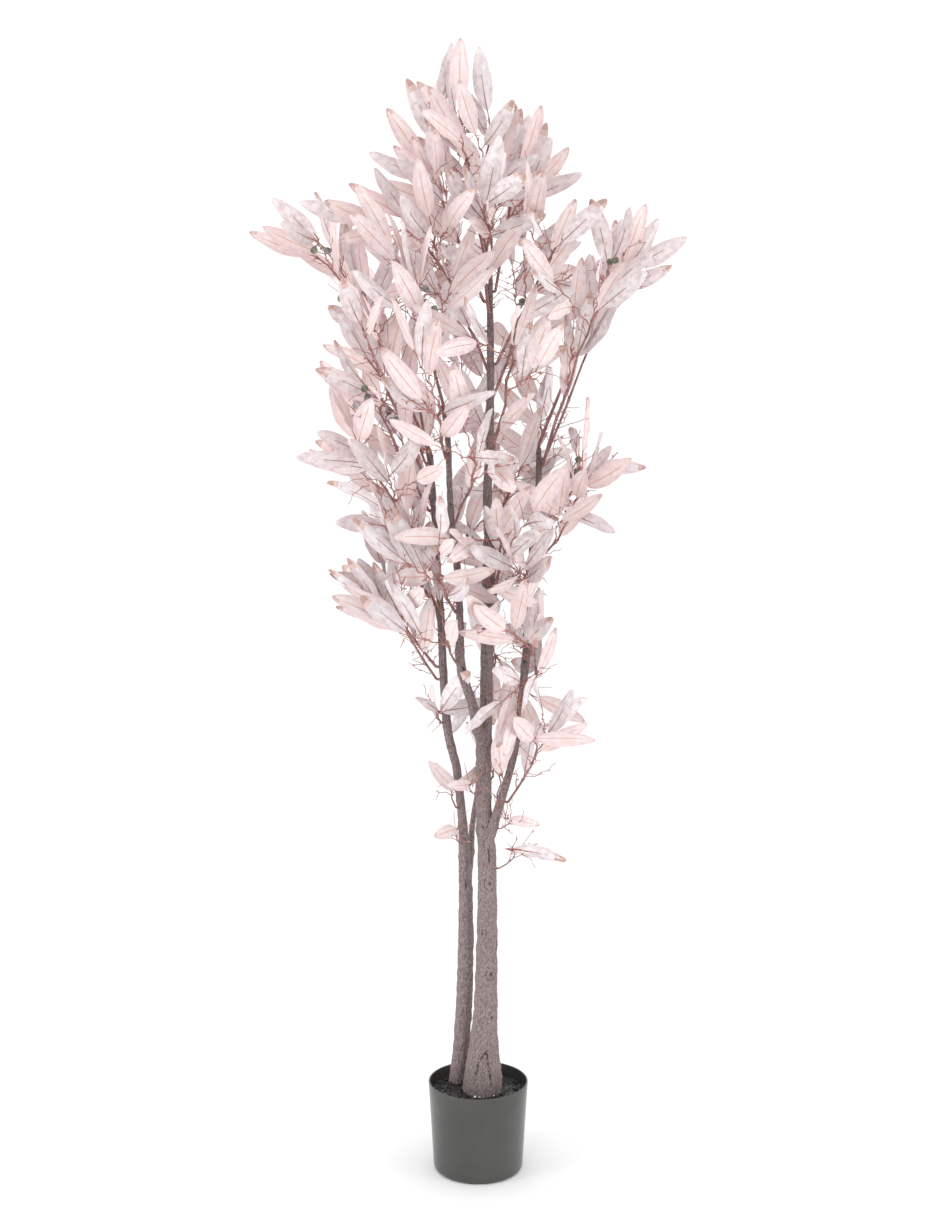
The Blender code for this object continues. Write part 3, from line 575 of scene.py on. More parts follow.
def bark_relief(point, middle, radius, collars, knots, cracks):
    """How far the bark stands proud of a plain round limb at this point, and how much shade is painted
    there.
    """
    lumps = sum(height * noise.noise(point * many) for height, many in BARK_LUMPS)
    wrinkle = BARK_WRINKLE * (0.5 - abs(noise.noise(point * WRINKLES)) * 2)
    grit = BARK_GRIT[0] * noise.noise(point * BARK_GRIT[1])
    rise, painted_shade = min(1.0, radius / FULL_RELIEF) * (lumps + wrinkle) + grit, 0.0
    dark, place, width = COLLAR_PAINTED_SHADE
    for height, swell in collars:
        above = (point.z - height) / COLLAR_REACH
        rise += swell * hump(above)
        # Painted shade in the hollow at the collar's edge, broken up along it
        painted_shade += dark * hump((above - place) / width) * breaking(point, *COLLAR_BREAKS)
    turn = degrees_round(point, middle)
    dark, place, width = KNOT_PAINTED_SHADE_RING
    for height, where, size in knots:
        far = math.hypot(apart(turn - where, radius), (point.z - height) * KNOT_SQUASH) / size
        if far < KNOT_END:
            rise += size * (KNOT_RISE * hump(far) - KNOT_DISH[0] * hump(far / KNOT_DISH[1]))
            # Painted shade in the knot's dished middle and in a ring round its foot
            painted_shade += hump(far / KNOT_PAINTED_SHADE_MIDDLE) + dark * hump((far - place) / width)
    wander = CRACK_WANDER[0] * noise.noise(Vector((0, 0, point.z * CRACK_WANDER[1])))
    # Painted shade in the cracks, as dark as they are deep
    for height, where, half in cracks:
        away = apart(turn - where, radius) + wander
        depth = math.exp(-((away / CRACK_WIDTH) ** 2) - ((point.z - height) / half) ** 4)
        rise -= CRACK_DEPTH * depth
        painted_shade += depth
    return rise, painted_shade


def flare_relief(point, middle, radius):
    """The same for the spreading foot: its flutes, its furrows and the one deep fold, with shade painted
    into the fold and the furrows.
    """
    low = max(0.0, (FLARE_TOP - point.z) / (FLARE_TOP - FILL_TOP))
    turn = degrees_round(point, middle)
    height, number, start = FLUTES
    rise = height * math.cos(math.radians(number * turn + start)) * low
    height, around, up = FURROWS
    furrow = abs(noise.noise(Vector((turn * around, point.z * up, 3.0))))
    rise += height * low * (0.3 - furrow * 2)
    near = min(arm_distance(turn, point.z, radius, arm) for arm in FOLD_ARMS) / FOLD_WIDTH
    fold = hump(near)
    rise += FOLD_LIP[0] * hump(near / FOLD_LIP[1]) - FOLD_DEPTH * fold
    # Painted shade in the fold and in the middles of the furrows
    near, strength = FURROW_PAINTED_SHADE
    return rise, breaking(point, *FOLD_BREAKS) * fold + max(0.0, near - furrow) * strength * low


def arm_distance(degrees, z, radius, arm):
    """How far round and up the foot a point lies from one arm of the fold."""
    distance, around, up = FOLD_WANDER
    wander = distance * noise.noise(Vector((degrees * around, z * up, 7.0)))
    place = Vector((math.radians(degrees) * radius + wander, z + wander))
    first, last = (Vector((math.radians(where) * radius, height)) for where, height in arm)
    run = last - first
    part = min(1.0, max(0.0, (place - first).dot(run) / run.length_squared))
    return (place - first - run * part).length


def bark_finish(name, dark, middle_shade, pale):
    """Plaster bark: mottled, with dark pits, and darker and greyer towards the thin upper limbs."""
    finish = mottled_finish(
        name, dark, pale, BARK_PATCH, BARK_ROUGHNESS, BARK_BUMPS, BARK_SPREAD, BARK_SHINE
    )
    nodes, links = finish.node_tree.nodes, finish.node_tree.links
    ramp, place = nodes["Color Ramp"], nodes["Texture Coordinate"]
    ramp.color_ramp.elements.new(0.5).color = (*middle_shade, 1.0)
    stretched = set_inputs(nodes.new("ShaderNodeMapping"), {"Scale": (1.0, 1.0, BARK_STRETCH)})
    links.new(place.outputs["Object"], stretched.inputs["Vector"])
    for grain in [node for node in nodes if node.bl_idname == "ShaderNodeTexNoise"]:
        links.new(stretched.outputs["Vector"], grain.inputs["Vector"])
    parts = nodes.new("ShaderNodeSeparateXYZ")
    height = set_inputs(nodes.new("ShaderNodeMapRange"), GREYING)
    shaded = nodes.new("ShaderNodeMix")
    shaded.data_type = "RGBA"
    shaded.blend_type = "MULTIPLY"
    set_inputs(shaded, {"B": GREY_SHADE})
    links.new(place.outputs["Object"], parts.inputs["Vector"])
    links.new(parts.outputs["Z"], height.inputs["Value"])
    links.new(height.outputs["Result"], shaded.inputs["Factor"])
    links.new(ramp.outputs["Color"], shaded.inputs["A"])
    links.new(shaded.outputs["Result"], nodes["Principled BSDF"].inputs["Base Color"])
    return finish


def swung(first, second, angle):
    """The first of two square directions, swung by this angle towards the second."""
    return math.cos(angle) * first + math.sin(angle) * second


def dip_limb(node, finishes):
    bends, sides, spacing, *details = LIMBS[node]
    centres, radii = evenly(*spline(bends, FINE_STEPS), spacing)
    points, faces, painted_shades = [], [], []
    level_foot = UP if node in ("main_trunk", "left_trunk") else None
    for i, (_, across, other) in enumerate(frames_along(centres, level_foot)):
        for k in range(sides):
            out = swung(across, other, 2 * math.pi * k / sides)
            plain = centres[i] + radii[i] * out
            rise, painted_shade = bark_relief(plain, centres[i], radii[i], *details)
            if node == "main_trunk" and plain.z < FLARE_TOP:
                fold, fold_painted_shade = flare_relief(plain, centres[i], radii[i])
                rise, painted_shade = rise + fold, painted_shade + fold_painted_shade
            points.append(plain + out * rise)
            painted_shades.append(painted_shade)
    for i in range(len(centres) - 1):
        faces += band(i * sides, sides)
    # The sawn top: an inner ring on the same cut, then the heart of the stem, a little sunk.
    ahead = (centres[-1] - centres[-2]).normalized()
    rim = points[-sides:]
    for share, rise in SAWN_RINGS:
        faces += band(len(points) - sides, sides)
        points += [centres[-1].lerp(point, share) + ahead * rise for point in rim]
    faces.append(list(range(len(points) - sides, len(points))))
    faces.append(list(range(sides))[::-1])
    painted_shades += [0.0] * (len(points) - len(painted_shades))
    # Faces deep enough in painted shade take the second, darker bark, which paints the shade of the
    # hollows
    finish_of = [int(sum(painted_shades[i] for i in face) / len(face) > PAINTED_SHADE_FROM) for face in faces]
    limb = make_piece("bark_" + node, points, faces, finishes, finish_of, sharp_angle=75)
    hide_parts(node)


barks = [
    bark_finish("plaster_bark", BARK_DARK, BARK_MIDDLE, BARK_PALE),
    # Darker bark painted as the shade in cracks, the fold, furrows, collar edges and knots
    bark_finish("bark_painted_shade", PAINTED_SHADE_DARK, PAINTED_SHADE_DARK, PAINTED_SHADE_PALE),
]
for limb_node in LIMBS:
    dip_limb(limb_node, barks)


def glue_trunk_foot():
    heap = ([], [])
    x, y, z, radius = MAIN_TRUNK[0]
    for degrees, size in GLUE_BEADS:
        turn, reach = math.radians(degrees), radius + size * BEAD_REACH
        middle = Vector((x + math.sin(turn) * reach, y - math.cos(turn) * reach, z + BEAD_RISE))
        points, faces = turned([(r * size, rise * size) for r, rise in BEAD_PROFILE], BEAD_SIDES)
        add_shape(heap, ([middle + point for point in points], faces))
    # Clear glue given a pale base colour: a painted glint
    glue = plain_finish("clear_glue_painted_glint", GLUE_PAINTED_GLINT, GLUE_ROUGHNESS, PLAIN_SHINE)
    set_inputs(glue.node_tree.nodes["Principled BSDF"], {"Coat Weight": GLUE_COAT})
    beads = make_piece("glue_beads", *heap, [glue])


glue_trunk_foot()


# ---------------------------------------------------------------- Growth of the sprays
# Each spray is a wired stem pushed into a drilled limb. Zigzag twigs are moulded onto it, and
# every twig carries leaves on alternate sides. The same rule as the solids' grows them here, and
# then carries them on to finer twigs.
STEPS_PER_BEND = 2  # as the solid limbs are made
STEM_RADIUS = (0.0032, 0.0016)  # at the plug and at the far end
STEM_POINTS = 6
STEM_ARCH = (0.26, 0.44)  # rise above a straight run, of its level reach
STEM_SWAY = 0.06  # of its run
PLUG = 0.005  # straight run out of the limb
GAP = 0.0003
RAY_START = 0.1  # from a limb's middle, outside it
NEARLY_UP = 0.05  # sine of the angle from upright
ZIGZAG = 0.0030
LONG_RUN = 0.20  # shorter stems arch and zigzag less
TWIG_RADIUS = (0.0018, 0.0013)
TWIG_LENGTH = (0.068, 0.106)
TWIG_ZONE = (0.34, 0.86)  # of the stem
TWIG_SHIFT = (0.2, 0.8)  # of its own part of that zone
TWIG_SPLAY = (28, 48)  # degrees from the stem
TWIG_TURN = 60  # degrees about the stem, either way
LEAVES_PER_TWIG = 3.1
LEAVES_ON_STEM = 4
LEAF_LENGTH = (0.098, 0.122)
LAST_LENGTH = 0.108  # of the leaf that ends a stem
LAST_SHARE = 0.85  # it takes at most this much of the stem's run
LEAF_WIDTH = 0.28  # of its length
LEAF_DEPTH = 0.016  # of its length, at the keel
SHOULDERS = ((0.26, 0.92), (0.72, 0.86))  # of a blade: place along it, share of its width
LEAF_SPLAY = (24, 50)  # degrees from the stem or twig
LEAF_TURN = 75  # degrees about the stem or twig, either way
LEAF_ROLL = 42  # degrees either way from upright
FRONT_TURN = 0.35  # how much a steep leaf is turned to show its face at the front
LEAF_SHIFT = 0.04  # along its run, either way
LAST_SPLAY = (2, 18)  # degrees, where a run's last leaf can't go straight on
BARE_SHARE = (0.20, 0.35)  # of a stem and of a twig, before its first leaf
LAST_PLACE = 0.93  # of a run, for its last side leaf
TWIG_SINK = 0.0006  # into the stem
LEAF_SINK = 0.0008
LAST_LEAF_SINK = 0.0010
FREE_FROM = 0.006  # past this a twig or stalk clears its own spray
JOINED_SHARE = 0.16  # of a leaf, at its base, that may meet its own spray
CLEARANCE = 0.0009
STEM_TRIES = 40
TRIES = 24
NUT_RADIUS = 0.0062
NUT_LENGTH = 0.013
NUT_STALK = 0.012
NUT_PLACE = 0.62  # of the stem
NUT_SPLAY = (45, 75)  # degrees from the stem
NUT_ROOM_SIDES = 6
# Finer twigs: shorter, with one or two smaller leaves where there is room
FINE_TWIG_LENGTH = (0.040, 0.075)
FINE_TWIG_RADIUS = (0.0010, 0.0006)
FINE_TWIG_ZONE = (0.25, 0.95)
FINE_TWIG_SPLAY = (24, 52)
FINE_LEAF_LENGTH = (0.086, 0.110)
FINE_LEAVES = (1, 1, 1, 2)
FINE_BARE_SHARE = 0.30
# Height, and how far the crown reaches left and right there; it is nearly as deep as it is wide
CROWN = [
    (0.500, -0.110, 0.165),
    (0.570, -0.110, 0.160),
    (0.610, -0.085, 0.095),
    (0.670, -0.085, 0.100),
    (0.715, -0.095, 0.210),
    (0.775, -0.108, 0.200),
    (0.825, -0.115, 0.130),
    (0.890, -0.150, 0.132),
    (0.930, -0.232, 0.120),
    (0.990, -0.240, 0.125),
    (1.025, -0.200, 0.165),
    (1.060, -0.225, 0.222),
    (1.105, -0.270, 0.180),
    (1.150, -0.292, 0.266),
    (1.200, -0.288, 0.195),
    (1.240, -0.220, 0.180),
    (1.290, -0.260, 0.155),
    (1.340, -0.258, 0.165),
    (1.370, -0.238, 0.200),
    (1.395, -0.250, 0.232),
    (1.420, -0.270, 0.272),
    (1.455, -0.306, 0.308),
    (1.505, -0.358, 0.330),
    (1.557, -0.335, 0.282),
    (1.582, -0.290, 0.175),
    (1.602, -0.232, 0.160),
    (1.640, -0.165, 0.130),
    (1.700, -0.145, 0.100),
    (1.740, -0.105, 0.048),
    (1.780, -0.052, 0.036),
    (1.802, -0.045, 0.028),
]
CROWN_DEPTH = 0.95  # of its width
CROWN_FULLNESS = 3  # 2 is an ellipse
# name, limb, height of its plug, tip (x, y, z), leaves, gumnuts, dye lot, finer twigs, and a mark
# added to its seed where it was drawn again, for the way its leaves hang
SPRAYS = [
    ("top", "main_trunk", 1.44, (-0.027, 0.000, 1.797), 11, 1, "blush", 2, "_h"),
    ("crest", "main_trunk", 1.425, (0.019, 0.045, 1.789), 7, 0, "pale", 1, "_g"),
    ("top_right", "main_trunk", 1.42, (0.094, 0.030, 1.702), 11, 0, "blush", 2, "_g"),
    ("top_left", "main_trunk", 1.405, (-0.138, -0.030, 1.692), 11, 0, "blush", 2, "_h"),
    ("top_front", "main_trunk", 1.39, (-0.020, -0.140, 1.600), 11, 0, "pale", 1, "_d"),
    ("top_back", "main_trunk", 1.385, (0.020, 0.115, 1.655), 11, 0, "pale", 2, ""),
    ("high_left", "main_trunk", 1.36, (-0.195, -0.060, 1.578), 10, 0, "blush", 2, "_d"),
    ("high_right", "main_trunk", 1.31, (0.190, -0.080, 1.555), 10, 0, "pale", 1, "_g"),
    ("high_back_left", "main_trunk", 1.30, (-0.110, 0.250, 1.480), 10, 0, "blush", 2, ""),
    ("high_back_right", "main_trunk", 1.26, (0.160, 0.230, 1.460), 9, 1, "greyed", 2, "_b"),
    ("front_high", "main_trunk", 1.14, (0.060, -0.190, 1.400), 10, 0, "pale", 1, "_h"),
    ("right_top", "right_bough", 1.18, (0.322, 0.030, 1.505), 12, 1, "blush", 2, "_b"),
    ("right_crest", "right_bough", 1.160, (0.262, 0.050, 1.553), 8, 0, "blush", 1, "_h"),
    ("right_front", "right_bough", 1.15, (0.248, -0.100, 1.448), 11, 0, "pale", 2, "_b"),
    ("right_back", "right_bough", 1.11, (0.120, 0.150, 1.300), 10, 0, "greyed", 2, ""),
    ("right_side", "right_bough", 1.05, (0.258, -0.010, 1.150), 7, 1, "blush", 1, "_c"),
    ("right_mid", "right_bough", 0.99, (0.208, -0.060, 1.056), 6, 0, "blush", 2, "_c"),
    ("right_inner", "main_trunk", 0.94, (0.080, -0.085, 1.130), 9, 0, "pale", 1, ""),
    ("right_back_low", "right_bough", 0.93, (0.090, 0.130, 1.010), 9, 0, "greyed", 2, ""),
    ("right_low", "right_bough", 0.80, (0.122, 0.020, 0.895), 10, 0, "pale", 1, "_h"),
    ("right_outer", "right_bough", 0.83, (0.112, -0.050, 0.920), 6, 0, "blush", 1, "_d"),
    ("right_lowest", "right_bough", 0.62, (0.182, -0.050, 0.730), 8, 0, "blush", 1, ""),
    ("right_near", "right_bough", 0.88, (0.050, -0.120, 1.020), 8, 0, "pale", 1, "_c"),
    ("left_top", "left_trunk", 1.17, (-0.348, -0.030, 1.509), 12, 1, "blush", 2, "_c"),
    ("left_crest", "left_trunk", 1.155, (-0.318, 0.020, 1.562), 8, 0, "blush", 1, "_d"),
    ("left_top_back", "left_trunk", 1.15, (-0.170, 0.200, 1.500), 9, 0, "pale", 2, ""),
    ("left_front_high", "left_trunk", 1.12, (-0.246, -0.110, 1.372), 12, 0, "blush", 2, "_d"),
    ("left_side", "left_trunk", 1.08, (-0.252, 0.050, 1.300), 9, 1, "blush", 2, "_b"),
    ("left_back", "left_trunk", 1.04, (-0.130, 0.210, 1.200), 9, 0, "greyed", 2, "_b"),
    ("left_mid", "left_trunk", 1.00, (-0.280, -0.050, 1.170), 12, 0, "blush", 2, "_b"),
    ("left_front", "left_trunk", 0.93, (-0.212, -0.110, 1.078), 11, 0, "greyed", 2, "_f"),
    ("left_back_low", "left_trunk", 0.90, (-0.130, 0.150, 1.010), 8, 0, "greyed", 2, ""),
    ("left_low", "left_trunk", 0.83, (-0.234, 0.010, 0.982), 11, 0, "greyed", 2, "_b"),
    ("left_lowest", "left_trunk", 0.81, (-0.222, -0.020, 0.936), 7, 0, "greyed", 1, ""),
    ("centre_top", "centre_bough", 1.26, (-0.110, -0.160, 1.520), 10, 1, "pale", 1, "_d"),
    ("centre_front", "centre_bough", 1.17, (-0.090, -0.190, 1.290), 10, 0, "blush", 1, "_e"),
    ("centre_right", "centre_bough", 1.07, (0.050, -0.190, 1.180), 9, 0, "pale", 1, "_c"),
    ("centre_low", "centre_bough", 0.93, (-0.100, -0.150, 1.040), 11, 0, "greyed", 2, ""),
    ("centre_lowest", "centre_bough", 0.85, (-0.080, -0.100, 0.930), 6, 0, "greyed", 1, ""),
    ("back_top", "back_bough", 1.11, (0.020, 0.220, 1.380), 9, 0, "blush", 2, "_d"),
    ("back_right", "back_bough", 1.02, (0.080, 0.190, 1.170), 10, 0, "pale", 2, "_b"),
    ("back_left", "back_bough", 0.95, (-0.080, 0.180, 1.080), 10, 0, "greyed", 2, ""),
    ("back_low", "back_bough", 0.80, (0.040, 0.110, 0.920), 8, 0, "pale", 2, ""),
    ("fork_left", "left_trunk", 0.74, (-0.098, -0.020, 0.790), 4, 0, "pale", 0, "_h"),
    ("fork_front", "left_trunk", 0.60, (-0.078, -0.030, 0.690), 2, 0, "greyed", 0, "_b"),
    ("fork_near", "main_trunk", 0.63, (-0.050, -0.062, 0.658), 1, 0, "pale", 0, ""),
    ("fork_mid", "right_bough", 0.61, (0.030, -0.080, 0.750), 2, 0, "blush", 0, "_e"),
    ("fork_right", "right_bough", 0.577, (0.095, -0.060, 0.594), 1, 0, "pale", 0, ""),
    ("fork_right_low", "main_trunk", 0.508, (0.137, -0.050, 0.533), 1, 0, "pale", 0, "_e"),
    ("fork_low", "left_trunk", 0.540, (-0.070, -0.060, 0.576), 1, 0, "pale", 0, "_e"),
    ("fork_back", "main_trunk", 0.64, (0.070, 0.100, 0.690), 4, 0, "pale", 1, "_b"),
]


def taper(ends, count):
    """Radii from one end's to the other's."""
    return [ends[0] + (ends[1] - ends[0]) * i / (count - 1) for i in range(count)]


def swollen(radii):
    return [radius + CLEARANCE for radius in radii]


def tube(centres, radii, sides=3, start=None):
    """A tube with flat ends, along centres, that may leave squarely in the start direction."""
    points, faces = [], []
    for centre, radius, (_, across, other) in zip(centres, radii, frames_along(centres, start)):
        turns = [2 * math.pi * k / sides for k in range(sides)]
        points += [centre + radius * swung(across, other, turn) for turn in turns]
    for i in range(len(centres) - 1):
        faces += band(i * sides, sides)
    faces.append(list(range(sides))[::-1])
    faces.append(list(range(len(points) - sides, len(points))))
    return points, faces


def blade(leaf, margin=0.0, skipped=0.0):
    """A leaf's plain keel of eight faces, as a test of clearance sees it."""
    base, along, face, length = leaf
    across = along.cross(face).normalized()
    width = length * LEAF_WIDTH / 2 + margin
    rise = face * (length * LEAF_DEPTH + margin)
    start = base + along * length * skipped - face * margin
    points = [start, base + along * (length + margin) - face * margin]
    for part, reach in SHOULDERS:
        for side in (-1, 1):
            points.append(base + along * length * part + across * width * reach * side + rise)
    faces = [(2, 3, 5), (2, 5, 4), (0, 3, 2), (1, 4, 5), (0, 2, 4), (0, 4, 1), (0, 5, 3), (0, 1, 5)]
    return points, faces


def tree_of(shape):
    return BVHTree.FromPolygons(*shape)


def node_tree(node):
    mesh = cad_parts[node].data
    return tree_of(([v.co for v in mesh.vertices], [p.vertices for p in mesh.polygons]))


def touches(shape, trees):
    own = tree_of(shape)
    return any(own.overlap(other) for other in trees)


def plug_point(limb, bends, height, tip):
    """Where a spray leaves its limb, and the way it leaves: off its side, or off its cut end."""
    centres, _ = spline(bends, STEPS_PER_BEND)
    if height >= bends[-1][2]:
        ahead = (centres[-1] - centres[-2]).normalized()
        return centres[-1] + ahead * GAP, ahead
    low = max(i for i, centre in enumerate(centres[:-1]) if centre.z <= height)
    part = (height - centres[low].z) / (centres[low + 1].z - centres[low].z)
    middle = centres[low].lerp(centres[low + 1], part)
    out = Vector((tip.x - middle.x, tip.y - middle.y, 0)).normalized()
    found, normal, _, _ = limb.ray_cast(middle + out * RAY_START, -out)
    return found + normal * GAP, normal


def stem_of(plug, out, tip, draw):
    """Centres of a zigzag stem that leaves straight out of its limb and arches to its last leaf."""
    start = plug + out * PLUG
    run = tip - start
    slack = min(1, run.length / LONG_RUN)
    lift = draw.uniform(*STEM_ARCH) * math.hypot(run.x, run.y) * slack
    sway = Vector((draw.uniform(-1, 1), draw.uniform(-1, 1), 0)) * STEM_SWAY * run.length
    control = start + run * 0.5 + Vector((0, 0, lift)) + sway
    last = (tip - control).normalized()
    end = tip - last * min(LAST_LENGTH, LAST_SHARE * run.length)
    across = last.cross(UP).normalized()
    centres = [plug, start]
    for i in range(1, STEM_POINTS + 1):
        t = i / STEM_POINTS
        bend = ZIGZAG * slack * (1 if i % 2 else -1) if i < STEM_POINTS else 0
        arch = start * (1 - t) ** 2 + control * 2 * t * (1 - t) + end * t**2
        centres.append(arch + across * bend)
    return centres


def along_run(centres, t):
    """The point at t from 0 to 1 along a run of centres, and its direction there."""
    place = t * (len(centres) - 1)
    low = min(int(place), len(centres) - 2)
    step = centres[low + 1] - centres[low]
    return centres[low] + step * (place - low), step.normalized()


def splayed(ahead, degrees, turn):
    """A direction at this angle from ahead, turned about it."""
    across = ahead.cross(UP)
    across = across.normalized() if across.length > NEARLY_UP else Vector((1, 0, 0))
    side = swung(across, across.cross(ahead), turn)
    return swung(ahead, side, math.radians(degrees)).normalized()


def side_turn(right, most, draw):
    """A turn about a run, within most degrees of its right or left side."""
    return (0 if right else math.pi) + math.radians(draw.uniform(-most, most))


def rolled_face(along, roll):
    """A leaf's facing for its direction: 0 is a blade on edge, 90 a blade lying flat."""
    level = along.cross(UP)
    level.y += FRONT_TURN if level.y > 0 else -FRONT_TURN
    level = (level - along * level.dot(along)).normalized()
    return swung(level, level.cross(along), math.radians(roll)).normalized()


def in_crown(point):
    """Whether a point lies inside the crown, a full oval at each height."""
    for (low, left, right), (high, next_left, next_right) in zip(CROWN, CROWN[1:]):
        if low <= point.z <= high:
            part = (point.z - low) / (high - low)
            left += (next_left - left) * part
            right += (next_right - right) * part
            half = (right - left) / 2
            across, deep = (point.x - left) / half - 1, point.y / half / CROWN_DEPTH
            return abs(across) ** CROWN_FULLNESS + abs(deep) ** CROWN_FULLNESS <= 1
    return False


def tries(label, count=TRIES):
    """The draws for a number of attempts, each with a seed of its own."""
    for attempt in range(count):
        yield attempt, random.Random(f"{label} {attempt}")


def grow_stem(name, plug, out, tip, limb_trees, spray_trees):
    for _, draw in tries(f"{name} stem", STEM_TRIES):
        stem = stem_of(plug, out, tip, draw)
        radii = taper(STEM_RADIUS, len(stem))
        past_plug = tube(stem[1:], swollen(radii[1:]))
        if not touches(tube(stem, swollen(radii)), spray_trees) and not touches(past_plug, limb_trees):
            break
    return stem, tube(stem, radii, start=out)


def grow_twig(root, away, length, radii, sink, fixed_trees, others, own_trees):
    """A straight twig that clears everything but its own foot, or None where it can't."""
    end = root + away * length
    if not in_crown(end) or touches(tube([root, end], swollen(radii)), fixed_trees):
        return None
    if touches(tube([root + away * FREE_FROM, end], swollen(radii)), others):
        return None
    own_trees.append(tree_of(tube([root - away * sink, end], radii)))
    return [root - away * sink, end]


def grow_twigs(name, stem, leaf_count, fixed_trees, own_trees):
    """Side twigs in turn left and right, as runs of (centres, its tree's place, bare share)."""
    runs = []
    count = max(0, round((leaf_count - LEAVES_ON_STEM) / LEAVES_PER_TWIG))
    for k in range(count):
        for _, draw in tries(f"{name} twig {k}"):
            place = (k + draw.uniform(*TWIG_SHIFT)) / count
            root, ahead = along_run(stem, TWIG_ZONE[0] + (TWIG_ZONE[1] - TWIG_ZONE[0]) * place)
            away = splayed(ahead, draw.uniform(*TWIG_SPLAY), side_turn(k % 2, TWIG_TURN, draw))
            length = draw.uniform(*TWIG_LENGTH)
            centres = grow_twig(
                root, away, length, TWIG_RADIUS, TWIG_SINK, fixed_trees, own_trees[1:], own_trees
            )
            if centres:
                runs.append((centres, len(own_trees) - 1, BARE_SHARE[1]))
                break
    return runs


def leaf_places(runs, leaf_count):
    """One last leaf on each run, then leaves shared out among the runs, on alternate sides."""
    places = [(run, 1.0, 0) for run in runs]
    spare = leaf_count - len(places)
    for k in range(max(0, spare)):
        run = runs[k % len(runs)]
        turn = k // len(runs)
        many = (spare - 1 - k % len(runs)) // len(runs) + 1
        t = run[2] + (LAST_PLACE - run[2]) * (turn + 0.5) / many
        places.append((run, t, 1 if (turn + k) % 2 else -1))
    return places


def last_leaf(run, tip, attempt, draw, lengths):
    """The leaf that ends a run, straight on if it can; the stem's own one reaches the tip."""
    centres, index, _ = run
    base, ahead = along_run(centres, 1.0)
    along = ahead if index else (tip - base).normalized()
    if attempt:
        along = splayed(ahead, draw.uniform(*LAST_SPLAY), any_turn(draw))
    length = draw.uniform(*lengths) if index else (tip - base).length
    face = rolled_face(along, leaf_roll(draw))
    return base - ahead * LAST_LEAF_SINK, along, face, length


def side_leaf(run, t, side, draw, lengths):
    base, ahead = along_run(run[0], t + draw.uniform(-LEAF_SHIFT, LEAF_SHIFT))
    along = splayed(ahead, draw.uniform(*LEAF_SPLAY), side_turn(side > 0, LEAF_TURN, draw))
    length = draw.uniform(*lengths)
    return base - along * LEAF_SINK, along, rolled_face(along, leaf_roll(draw)), length


def leaf_roll(draw):
    return draw.uniform(-LEAF_ROLL, LEAF_ROLL) + (180 if draw.random() < 0.5 else 0)


def grow_leaf(label, tip, run, t, side, fixed_trees, own_trees, lengths):
    """A leaf that clears everything but its own foot, or None where there is no room for one."""
    others = own_trees[:run[1]] + own_trees[run[1] + 1:]
    for attempt, draw in tries(label):
        if side:
            leaf = side_leaf(run, t, side, draw, lengths)
        else:
            leaf = last_leaf(run, tip, attempt, draw, lengths)
        if not in_crown(leaf[0] + leaf[1] * leaf[3]):
            continue
        if touches(blade(leaf, CLEARANCE), fixed_trees):
            continue
        if not touches(blade(leaf, CLEARANCE, JOINED_SHARE), others):
            own_trees.append(tree_of(blade(leaf)))
            return leaf
    return None


def grow_leaves(label, tip, runs, count, fixed_trees, own_trees, lengths=LEAF_LENGTH):
    """The leaves that find room on these runs."""
    leaves = []
    for k, (run, t, side) in enumerate(leaf_places(runs, count)):
        leaves.append(grow_leaf(f"{label} {k}", tip, run, t, side, fixed_trees, own_trees, lengths))
    return [leaf for leaf in leaves if leaf]


def grow_nuts(name, stem, nut_count, fixed_trees, own_trees):
    """Where each gumnut's stalk leaves the stem, and the way it points."""
    nuts = []
    for k in range(nut_count):
        for _, draw in tries(f"{name} nut {k}"):
            base, ahead = along_run(stem, NUT_PLACE + draw.uniform(-LEAF_SHIFT, LEAF_SHIFT))
            along = splayed(ahead, draw.uniform(*NUT_SPLAY), any_turn(draw))
            ends = [base + along * FREE_FROM, base + along * (NUT_STALK + NUT_LENGTH + CLEARANCE)]
            around = tube(ends, swollen([NUT_RADIUS] * 2), NUT_ROOM_SIDES)
            if not touches(around, fixed_trees + own_trees[1:]):
                own_trees.append(tree_of(around))
                nuts.append((base, along))
                break
    return nuts


def grow_fine_twig(label, runs, shift, fixed_trees, own_trees):
    """A finer twig off the stem or one of its twigs, as a run, or None where there is no room."""
    for attempt, draw in tries(label):
        centres, index, bare = runs[(shift + attempt) % len(runs)]
        root, ahead = along_run(centres, draw.uniform(max(FINE_TWIG_ZONE[0], bare), FINE_TWIG_ZONE[1]))
        away = splayed(ahead, draw.uniform(*FINE_TWIG_SPLAY), any_turn(draw))
        length = draw.uniform(*FINE_TWIG_LENGTH)
        others = own_trees[:index] + own_trees[index + 1:]
        twig = grow_twig(root, away, length, FINE_TWIG_RADIUS, 0, fixed_trees, others, own_trees)
        if twig:
            return twig, len(own_trees) - 1, FINE_BARE_SHARE
    return None


def grow_fine_twigs(name, tip, runs, count, fixed_trees, own_trees):
    """Finer twigs, each with the leaves that find room on it."""
    twigs, leaves = [], []
    for k in range(count):
        run = grow_fine_twig(f"{name} fine twig {k}", runs, k, fixed_trees, own_trees)
        if run:
            twigs.append(run)
            count_here = random.Random(f"{name} fine leaves {k}").choice(FINE_LEAVES)
            label = f"{name} fine leaf {k}"
            leaves += grow_leaves(
                label, tip, [run], count_here, fixed_trees, own_trees, FINE_LEAF_LENGTH
            )
    return twigs, leaves


limb_trees = [node_tree(node) for node in LIMBS]


